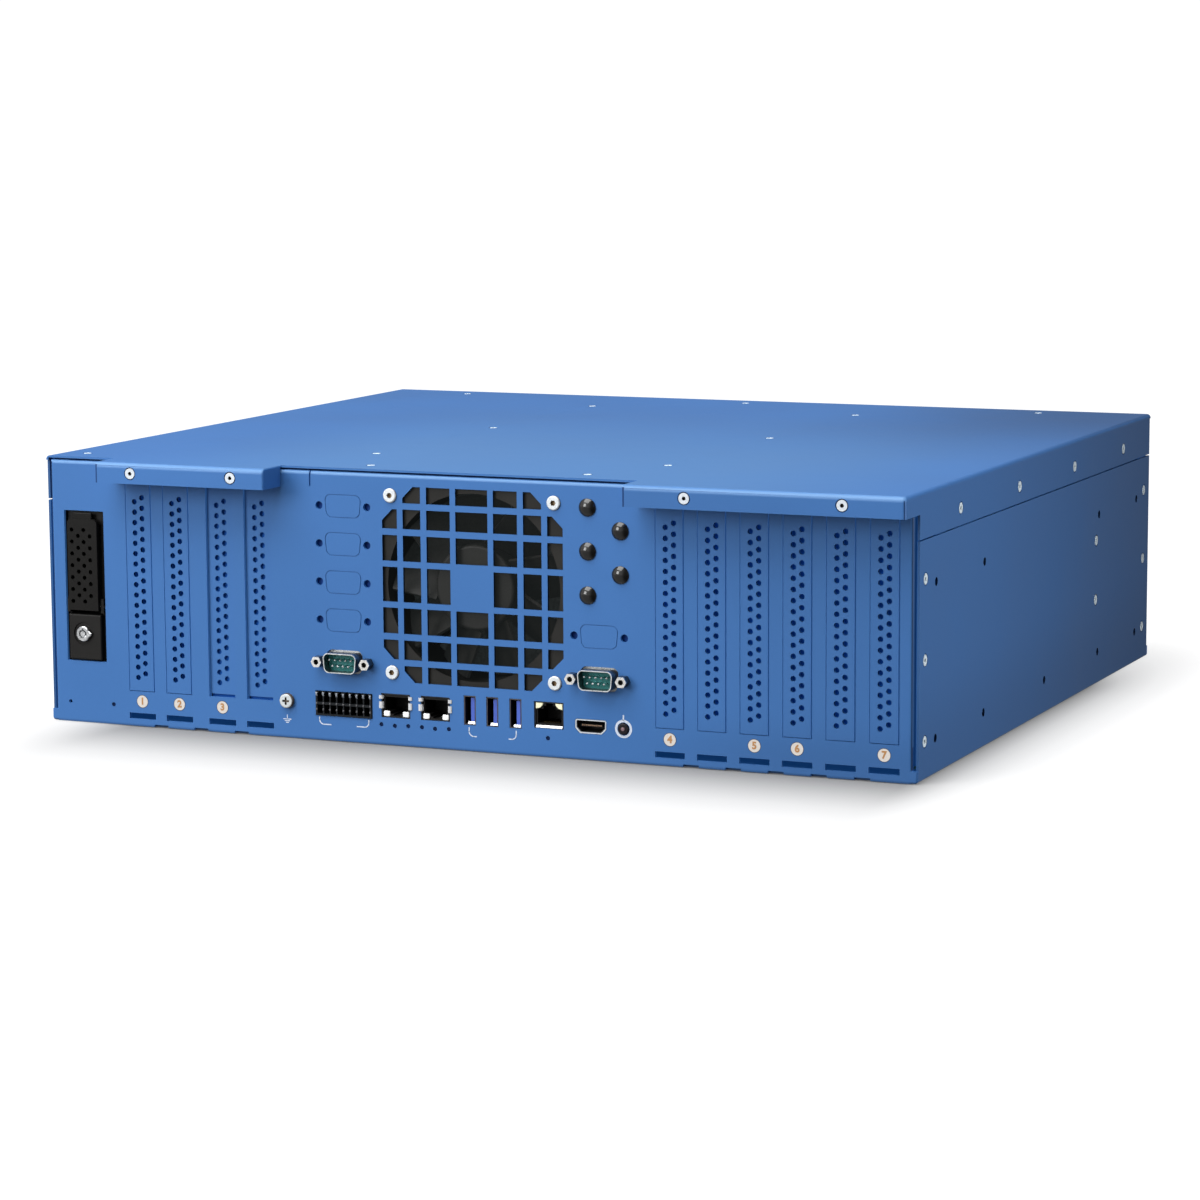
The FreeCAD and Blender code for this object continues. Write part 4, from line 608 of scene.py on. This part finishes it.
SPECIAL = {
    "front_panel": PANEL_PAINT, "rear_panel": REAR_PAINT, "slot_brackets": BRACKET_PAINT,
    "top_cover": COVER_PAINT, "base_pan": PAN_PAINT,
    "cover_screws": BRIGHT_COVER_SCREW, "panel_screws": BRIGHT_COVER_SCREW, "hood_screws": HOOD_SCREW, "fan_screws": FAN_SCREW,
    "earth_screw": EARTH_SCREW, "lock_cylinder": LOCK_STEEL,
    "network_contacts": NETWORK_GOLD, "network_shields": SHADED_NETWORK_STEEL, "bus_shells": SHADED_BUS_STEEL, "video_shell": VIDEO_STEEL,
    "dsub_shells": PORT_STEEL, "dsub_jackscrews": POST_STEEL, "connector_pins": PIN_STEEL,
    "terminal_header": HEADER_BLACK, "tray_lever": LEVER_BLACK, "drive_tray": TRAY_BLACK,
    "solid_state_drive": DRIVE_BLACK, "power_button": BUTTON_BLACK,
    "front_fan_frame": FAN_PLASTIC, "front_fan_rotor": ROTOR_PLASTIC, "rear_fan_frames": FAN_PLASTIC,
    "rear_fan_rotor_left": FAN_PLASTIC, "rear_fan_rotor_right": FAN_PLASTIC,
}

record = frame["record"]
slot_of = {q["node"]: q["material_slot"] for q in record["subparts"]}
for name, obj in nodes.items():
    obj.data.materials.clear()
    obj.data.materials.append(SPECIAL.get(name, M[slot_of[name]]))


# ---------------------------------------------------------------------------
# mesh helpers for the added pieces
# ---------------------------------------------------------------------------
def add_mesh(name, bm, mat, body):
    me = bpy.data.meshes.new(name)
    bmesh.ops.recalc_face_normals(bm, faces=bm.faces)
    bm.to_mesh(me)
    bm.free()
    o = bpy.data.objects.new(name, me)
    bpy.context.scene.collection.objects.link(o)
    me.materials.append(mat)
    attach(o, body)
    return o


def plate(bm, outline, y0, y1):
    """Closed outline in x and z pushed from y0 to y1 (millimetres)."""
    front = [bm.verts.new(at(x, y0, z)) for x, z in outline]
    back = [bm.verts.new(at(x, y1, z)) for x, z in outline]
    n = len(outline)
    bm.faces.new(front)
    bm.faces.new(list(reversed(back)))
    for i in range(n):
        j = (i + 1) % n
        bm.faces.new((front[i], back[i], back[j], front[j]))


def ring(bm, x, z, r0, r1, y0, y1, a0=0.0, a1=360.0, n=48):
    """Flat ring or arc of a ring, in the plane of the panel."""
    full = abs(a1 - a0) >= 359.9
    count = n if full else n + 1
    rows = []
    for i in range(count):
        a = math.radians(a0 + (a1 - a0) * i / n)
        c, s = math.cos(a), math.sin(a)
        rows.append([bm.verts.new(at(x + r * c, y, z + r * s)) for r, y in
                     ((r0, y0), (r1, y0), (r1, y1), (r0, y1))])
    pairs = [(i, (i + 1) % count) for i in range(count if full else count - 1)]
    for i, j in pairs:
        for k in range(4):
            l = (k + 1) % 4
            bm.faces.new((rows[i][k], rows[j][k], rows[j][l], rows[i][l]))
    if not full:
        bm.faces.new(rows[0])
        bm.faces.new(list(reversed(rows[-1])))


def disc(bm, x, z, r, y0, y1, n=40):
    plate(bm, [(x + r * math.cos(2 * math.pi * i / n), z + r * math.sin(2 * math.pi * i / n)) for i in range(n)], y0, y1)


def bar(bm, p, q, w, y0, y1):
    """Straight printed line between two points in the plane of the panel."""
    d = Vector((q[0] - p[0], q[1] - p[1])).normalized() * w / 2.0
    s = Vector((-d.y, d.x))
    pts = [(p[0] - d.x + s.x, p[1] - d.y + s.y), (q[0] + d.x + s.x, q[1] + d.y + s.y),
           (q[0] + d.x - s.x, q[1] + d.y - s.y), (p[0] - d.x - s.x, p[1] - d.y - s.y)]
    plate(bm, pts, y0, y1)


def block(bm, x0, x1, y0, y1, z0, z1):
    vs = [bm.verts.new(at(x, y, z)) for x in (x0, x1) for y in (y0, y1) for z in (z0, z1)]
    for f in ((0, 1, 3, 2), (4, 6, 7, 5), (0, 4, 5, 1), (2, 3, 7, 6), (0, 2, 6, 4), (1, 5, 7, 3)):
        bm.faces.new([vs[i] for i in f])


def rounded(x0, x1, z0, z1, r, n=5):
    """Outline of a rectangle with rounded corners."""
    pts = []
    for cx, cz, a in ((x1 - r, z1 - r, 0), (x0 + r, z1 - r, 90), (x0 + r, z0 + r, 180), (x1 - r, z0 + r, 270)):
        for i in range(n + 1):
            t = math.radians(a + 90.0 * i / n)
            pts.append((cx + r * math.cos(t), cz + r * math.sin(t)))
    return pts


def pillow(bm, outline, y0, y1, inset):
    """Closed outline with a crowned front at y0 and a flat back at y1."""
    mx = sum(q[0] for q in outline) / len(outline)
    mz = sum(q[1] for q in outline) / len(outline)
    reach = max(math.hypot(x - mx, z - mz) for x, z in outline)
    loops = []
    for part, y in ((0.0, y1), (0.0, y0 + 0.6 * (y1 - y0)), (0.35, y0 + 0.22 * (y1 - y0)), (1.0, y0)):
        k = 1.0 - part * inset / reach
        loops.append([bm.verts.new(at(mx + (x - mx) * k, y, mz + (z - mz) * k)) for x, z in outline])
    n = len(outline)
    bm.faces.new(loops[0])
    bm.faces.new(list(reversed(loops[-1])))
    for a, b in zip(loops, loops[1:]):
        for i in range(n):
            j = (i + 1) % n
            bm.faces.new((a[i], b[i], b[j], a[j]))


def prism(bm, outline, axis, lo, hi):
    """Closed outline pushed along x (outline in y, z) or along z (outline in x, y)."""
    def corner(q, t):
        return at(t, q[0], q[1]) if axis == "x" else at(q[0], q[1], t)
    a = [bm.verts.new(corner(q, lo)) for q in outline]
    b = [bm.verts.new(corner(q, hi)) for q in outline]
    n = len(outline)
    bm.faces.new(a)
    bm.faces.new(list(reversed(b)))
    for i in range(n):
        j = (i + 1) % n
        bm.faces.new((a[i], b[i], b[j], a[j]))


def bent(path, t):
    """Outline of a bent strip of thickness t along a path of points."""
    left, right = [], []
    for i, q in enumerate(path):
        p0, p1 = path[max(i - 1, 0)], path[min(i + 1, len(path) - 1)]
        d = Vector((p1[0] - p0[0], p1[1] - p0[1])).normalized()
        left.append((q[0] - d.y * t / 2.0, q[1] + d.x * t / 2.0))
        right.append((q[0] + d.y * t / 2.0, q[1] - d.x * t / 2.0))
    return left + list(reversed(right))


PRINT = -0.06

# numbered discs below the slots
DISCS = [(SLOTS_L[0], "1"), (SLOTS_L[1], "2"), (SLOTS_L[2], "3"), (SLOTS_R[0], "4"),
         (SLOTS_R[2], "5"), (SLOTS_R[3], "6"), (SLOTS_R[5], "7")]
DISC_Z = 12.0
bm = bmesh.new()
for x, t in DISCS:
    disc(bm, x, DISC_Z, 2.9, PRINT, 0.02)
add_mesh("slot_number_discs", bm, WHITE_INK, "chassis")
# painted shade: a thin dark ring around each disc, as the shade at its rim
bm = bmesh.new()
for x, t in DISCS:
    ring(bm, x, DISC_Z, 2.86, 3.2, PRINT + 0.01, 0.02)
add_mesh("slot_disc_shade_rims", bm, RIM_SHADE_INK, "chassis")
dg = bpy.context.evaluated_depsgraph_get()
for x, t in DISCS:
    cu = bpy.data.curves.new("digit_" + t, "FONT")
    cu.body = t
    cu.align_x = "CENTER"
    cu.align_y = "CENTER"
    cu.size = 0.0046
    cu.offset = 0.00020
    cu.extrude = 0.00003
    cu.resolution_u = 4
    tmp = bpy.data.objects.new("digit_tmp_" + t, cu)
    bpy.context.scene.collection.objects.link(tmp)
    bpy.context.view_layer.update()
    me = bpy.data.meshes.new_from_object(tmp.evaluated_get(bpy.context.evaluated_depsgraph_get()))
    bpy.data.objects.remove(tmp)
    me.transform(Matrix.Translation(at(x, PRINT - 0.02, DISC_Z)) @ Matrix.Rotation(math.radians(90), 4, "X"))
    o = bpy.data.objects.new("slot_digit_" + t, me)
    me.materials.clear()
    me.materials.append(BROWN_INK)
    bpy.context.scene.collection.objects.link(o)
    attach(o, "chassis")

# power ring and tick, earth mark, lines under the socket groups
bm = bmesh.new()
ring(bm, 300.4, 15.4, 3.05, 4.2, PRINT, 0.02)
bar(bm, (300.4, 19.6), (300.4, 21.4), 0.7, PRINT, 0.02)
ex, ez = 128.6, 8.9
bar(bm, (ex, ez + 1.7), (ex, ez - 0.1), 0.42, PRINT, 0.02)
bar(bm, (ex - 1.9, ez - 0.2), (ex + 1.9, ez - 0.2), 0.42, PRINT, 0.02)
bar(bm, (ex - 1.2, ez - 1.0), (ex + 1.2, ez - 1.0), 0.42, PRINT, 0.02)
bar(bm, (ex - 0.55, ez - 1.8), (ex + 0.55, ez - 1.8), 0.42, PRINT, 0.02)


def bracket_line(bm, xa, xb, top, low, r=2.2, w=0.5):
    """Line that drops from a socket group and turns in under it."""
    s = 1.0 if xb > xa else -1.0
    bar(bm, (xa, top), (xa, low + r), w, PRINT, 0.02)
    a0, a1 = (180.0, 270.0) if s > 0 else (270.0, 360.0)
    ring(bm, xa + s * r, low + r, r - w / 2.0, r + w / 2.0, PRINT, 0.02, a0, a1, 10)
    bar(bm, (xa + s * r, low), (xb, low), w, PRINT, 0.02)


bracket_line(bm, 145.7, 151.6, 10.8, 7.5)
bracket_line(bm, 171.5, 165.4, 10.8, 7.5)
bracket_line(bm, 223.2, 226.8, 10.8, 6.9)
bracket_line(bm, 247.0, 243.4, 10.8, 6.9)
add_mesh("panel_marks", bm, LIGHT_INK, "chassis")

# ---------------------------------------------------------------------------
# small parts in the sockets, and guessed screens behind the perforations, toned navy to stand in for the shade seen
# through them
# ---------------------------------------------------------------------------
SCREEN = plastic("screen_weave", (0.004, 0.098, 0.43), 0.6, 2600.0, 0.6, 0.4, spec=0.1)
# painted shade: the plain slots get a darker copy of the screen
SHADED_SCREEN = plastic("shaded_weave", (0.004, 0.056, 0.25), 0.6, 2600.0, 0.6, 0.4, spec=0.1)
CAP_SHADE_BLUE = plastic("cap_shade_blue", (0.003, 0.030, 0.15), 0.5, 1400.0, 0.2, 0.25, spec=0.1)
for name, mat, row in (("vent_screens", SCREEN, SLOTS_L[:2] + SLOTS_R), ("plain_screens", SHADED_SCREEN, SLOTS_L[2:])):
    bm = bmesh.new()
    for x in row:
        prism(bm, [(x - 5.0, 2.38), (x - 4.7, 2.38), (x - 4.7, 2.95), (x + 4.7, 2.95), (x + 4.7, 2.38), (x + 5.0, 2.38),
                   (x + 5.0, 3.25), (x - 5.0, 3.25)], "z", 20.0, 112.0)
        if mat is SHADED_SCREEN:
            # dark strip behind the open gap at the foot, standing in for the shade in that gap
            prism(bm, [(x - 6.4, 2.5), (x + 6.4, 2.5), (x + 6.4, 2.9), (x - 6.4, 2.9)], "z", 14.6, 18.4)
    add_mesh(name, bm, mat, "chassis")
bm = bmesh.new()
ring(bm, 225.4, 75.5, 41.6, 43.6, 26.6, 27.6, n=72)
disc(bm, 225.4, 75.5, 41.6, 27.0, 27.3, 72)
for r in (12.0, 20.0, 28.0, 36.0):
    ring(bm, 225.4, 75.5, r, r + 0.8, 26.6, 27.0, n=72)
add_mesh("fan_screen", bm, FAN_WEAVE, "chassis")
# navy caps behind the blank screw holes, standing in for the shade seen through them
bm = bmesh.new()
for x, z in ((159.6, 110.7), (159.4, 92.9), (159.3, 75.0), (159.2, 57.1), (288.6, 56.8)):
    for s in (-1, 1):
        ring(bm, x + s * 12.4, z, 2.1, 2.7, 1.52, 2.0, n=24)
        disc(bm, x + s * 12.4, z, 2.7, 2.0, 2.4, 24)
add_mesh("hole_caps", bm, CAP_SHADE_BLUE, "chassis")

JACKS = [(185.6, 18.5, 14.9, 11.4), (206.0, 18.5, 14.9, 11.4), (263.4, 19.2, 14.8, 12.4)]
bm = bmesh.new()
for x, z, w, h in JACKS[:2]:
    for s in (-1, 1):
        a, b = sorted((x + s * 3.3, x + s * 6.6))
        pillow(bm, rounded(a, b, z - h / 2.0 + 0.5, z - h / 2.0 + 3.1, 0.7), 0.38, 0.98, 0.5)
add_mesh("socket_lenses", bm, LENS_WHITE, "chassis")
bm = bmesh.new()
x, z, w, h = JACKS[2]
for s in (-1, 1):
    top = z + h / 2.0 - 0.55
    pillow(bm, [(x + s * 6.7, top), (x + s * 2.9, top), (x + s * 3.2, top - 1.1), (x + s * 4.6, top - 2.5),
                (x + s * 6.7, top - 3.0)], 0.38, 0.98, 0.4)
add_mesh("socket_lenses_upper", bm, LENS_CREAM, "chassis")
bm = bmesh.new()
for x, z, w, h in JACKS[:2]:
    for s in (-1, 1):
        for z0, z1 in ((z + 3.1, z + 4.7), (z - 1.4, z + 1.7)):
            path = [(x + s * 8.5, -0.12), (x + s * 8.2, -0.32), (x + s * 7.5, -0.48), (x + s * 6.8, -0.3), (x + s * 6.4, 0.5)]
            prism(bm, bent(path, 0.22), "z", z0, z1)
x, z, w, h = JACKS[2]
prism(bm, bent([(0.32, z - h / 2.0 + 0.30), (0.42, z - h / 2.0 + 0.65), (0.60, z - h / 2.0 + 1.1), (0.80, z - h / 2.0 + 1.3)], 0.16),
      "x", x - 6.5, x + 6.5)
for x in (223.6, 235.0, 246.7):
    prism(bm, bent([(0.27, 12.62), (0.36, 12.95), (0.55, 13.4), (0.80, 13.65)], 0.16), "x", x - 1.0, x + 2.5)
add_mesh("socket_springs", bm, SPRING_STEEL, "chassis")

# painted highlight: grey ridges and bumps on the black header stand in for the highlights on its latches and pins
bm = bmesh.new()
for i in range(9):
    x = 158.6 + (i - 4) * 3.5
    prism(bm, [(-0.58, 22.6), (-0.85, 22.7), (-1.05, 22.4), (-1.0, 21.7), (-0.58, 20.9)], "x", x - 0.45, x + 0.45)
add_mesh("header_ridges", bm, RIDGE_HIGHLIGHT_GREY, "chassis")
bm = bmesh.new()
for i in range(9):
    x = 158.6 + (i - 4) * 3.5
    for z in (17.45, 14.6):
        pillow(bm, rounded(x - 0.42, x + 0.42, z - 0.5, z + 0.5, 0.2, 3), -0.95, -0.58, 0.25)
add_mesh("header_bumps", bm, BUMP_HIGHLIGHT_GREY, "chassis")

bm = bmesh.new()
for i in range(10):
    x = 284.2 + (i - 4.5) * 1.0
    prism(bm, [(1.30, 15.55), (1.42, 15.25), (1.55, 15.2), (1.55, 16.1), (1.42, 16.1)], "x", x - 0.3, x + 0.3)
add_mesh("video_contacts", bm, SHADED_VIDEO_GOLD, "chassis")

# a guessed lens in the middle of the power button; its pink tone stands in for the highlight there
bm = bmesh.new()
pillow(bm, [(300.4 + 0.9 * math.cos(2 * math.pi * i / 20), 15.4 + 0.9 * math.sin(2 * math.pi * i / 20)) for i in range(20)],
       -1.12, -0.88, 0.5)
add_mesh("button_lens", bm, ROSE_HIGHLIGHT_LENS, "power_button")

# ---------------------------------------------------------------------------
# floor, light, camera
# ---------------------------------------------------------------------------
WORLD = (1.05, 0.12)
BAND = 0.20
bm = bmesh.new()
S = 30.0
vs = [bm.verts.new((x * S, y * S, -0.0004)) for x, y in ((-1, -1), (1, -1), (1, 1), (-1, 1))]
bm.faces.new(vs)
me = bpy.data.meshes.new("floor")
bm.to_mesh(me)
bm.free()
floor = bpy.data.objects.new("floor", me)
bpy.context.scene.collection.objects.link(floor)
fm, nt, p = new_mat("floor_white")
v = coords(nt, (1, 1, 1))
n = noise(nt, v, 3.0, 2.0)
nt.links.new(ramp(nt, n, [(0.3, (0.158, 0.158, 0.160)), (0.7, (0.163, 0.163, 0.163))]), p.inputs["Base Color"])
p.inputs["Roughness"].default_value = 0.9
p.inputs["Specular IOR Level"].default_value = 0.1
# painted shadow: the floor's glow is lowered near the part as its soft contact shadow, and grows toward white away from
# it
fx, fy = across(nt, "X"), across(nt, "Y")
gx = calc(nt, "MAXIMUM", calc(nt, "MULTIPLY", calc(nt, "SUBTRACT", fx, 0.2135), 3.2),
          calc(nt, "MULTIPLY", calc(nt, "SUBTRACT", -0.175, fx), 2.2))
gy = calc(nt, "MAXIMUM", calc(nt, "SUBTRACT", -0.18175, fy),
          calc(nt, "SUBTRACT", fy, 0.08))
gx, gy = calc(nt, "MAXIMUM", gx, 0.0), calc(nt, "MAXIMUM", gy, 0.0)
away = calc(nt, "SQRT", calc(nt, "ADD", calc(nt, "MULTIPLY", gx, gx), calc(nt, "MULTIPLY", gy, gy)))
floor_shadow_glow = ramp(nt, calc(nt, "MULTIPLY", away, 5.0),
            [(d * 5.0, (g, g, g)) for d, g in ((0.0, 0.07), (0.015, 0.172), (0.025, 0.249), (0.04, 0.376),
                                               (0.06, 0.535), (0.08, 0.635), (0.11, 0.745), (0.19, 0.90))])
p.inputs["Emission Color"].default_value = (1.0, 1.0, 1.0, 1.0)
nt.links.new(floor_shadow_glow, p.inputs["Emission Strength"])
me.materials.append(fm)
floor.visible_glossy = False
floor.visible_diffuse = False

# studio surround: white, falling off towards the right-hand side
world = bpy.data.worlds.new("studio")
bpy.context.scene.world = world
world.use_nodes = True
wt = world.node_tree
bg = wt.nodes["Background"]
wc = wt.nodes.new("ShaderNodeTexCoord")
ws = wt.nodes.new("ShaderNodeSeparateXYZ")
wt.links.new(wc.outputs["Generated"], ws.inputs[0])
wr = wt.nodes.new("ShaderNodeMapRange")
wr.interpolation_type = "SMOOTHSTEP"
wr.inputs["From Min"].default_value = -0.05
wr.inputs["From Max"].default_value = 0.60
wr.inputs["To Min"].default_value = WORLD[0]
wr.inputs["To Max"].default_value = WORLD[1]
wt.links.new(ws.outputs["X"], wr.inputs["Value"])


def by_height(stops):
    """Grey level of the surround by the height of the direction, -1 to 1."""
    h = wt.nodes.new("ShaderNodeMapRange")
    h.inputs["From Min"].default_value = -1.0
    h.inputs["From Max"].default_value = 1.0
    wt.links.new(ws.outputs["Z"], h.inputs["Value"])
    return ramp(wt, h.outputs["Result"], [((z + 1.0) / 2.0, (g, g, g)) for z, g in stops])


# a dimmer band low at the back keeps the lid from turning milky
back = by_height([(-0.03, 0.45), (-0.02, 1.0), (0.025, 1.0), (0.045, BAND), (0.50, BAND), (0.80, 1.0)])
front = by_height([(-0.04, 0.55), (-0.02, 1.0)])
wy = wt.nodes.new("ShaderNodeMapRange")
wy.interpolation_type = "SMOOTHSTEP"
wy.inputs["From Min"].default_value = -0.2
wy.inputs["From Max"].default_value = 0.4
wt.links.new(ws.outputs["Y"], wy.inputs["Value"])
mix = wt.nodes.new("ShaderNodeMix")
mix.data_type = "RGBA"
wt.links.new(wy.outputs["Result"], mix.inputs["Factor"])
wt.links.new(front, mix.inputs[6])
wt.links.new(back, mix.inputs[7])
wt.links.new(mix.outputs[2], bg.inputs["Color"])
wt.links.new(wr.outputs["Result"], bg.inputs["Strength"])


def area(name, loc, target, size, power, col=(1, 1, 1), size_y=None):
    li = bpy.data.lights.new(name, "AREA")
    li.energy = power
    li.color = col
    li.size = size
    if size_y:
        li.shape = "RECTANGLE"
        li.size_y = size_y
    o = bpy.data.objects.new(name, li)
    o.location = loc
    d = Vector(target) - Vector(loc)
    o.rotation_euler = d.to_track_quat("-Z", "Y").to_euler()
    bpy.context.scene.collection.objects.link(o)
    return o


area("key_front", (-1.1, -1.8, 0.75), (0, 0, 0.06), 0.9, 27.5)
area("fill_right", (0.60, -0.19, 0.13), (0.22, -0.10, 0.06), 0.25, 1.36)
area("top_soft", (-0.4, -0.78, 1.78), (0, 0, 0.1), 1.7, 59)

bpy.context.scene.view_settings.view_transform = "Standard"
bpy.context.scene.view_settings.look = "None"

YAW, PITCH, ROLL = 0.41000, 0.14513, -0.00588
F_PX = 3717.87
cam_data = bpy.data.cameras.new("camera")
cam_data.sensor_width = 36.0
cam_data.sensor_fit = "HORIZONTAL"
cam_data.lens = 36.0 * F_PX / 1200.0
cam_data.clip_start = 0.05
cam_data.clip_end = 100.0
cam = bpy.data.objects.new("camera", cam_data)
fwd = Vector((-math.sin(YAW) * math.cos(PITCH), math.cos(YAW) * math.cos(PITCH), -math.sin(PITCH)))
right = Vector((math.cos(YAW), math.sin(YAW), 0.0))
up = right.cross(fwd)
r2 = right * math.cos(ROLL) + up * math.sin(ROLL)
u2 = up * math.cos(ROLL) - right * math.sin(ROLL)
rot = Matrix((r2, u2, -fwd)).transposed()
cam.matrix_world = Matrix.Translation(at(949.882, -1520.152, 315.940)) @ rot.to_4x4()
bpy.context.scene.collection.objects.link(cam)
bpy.context.scene.camera = cam
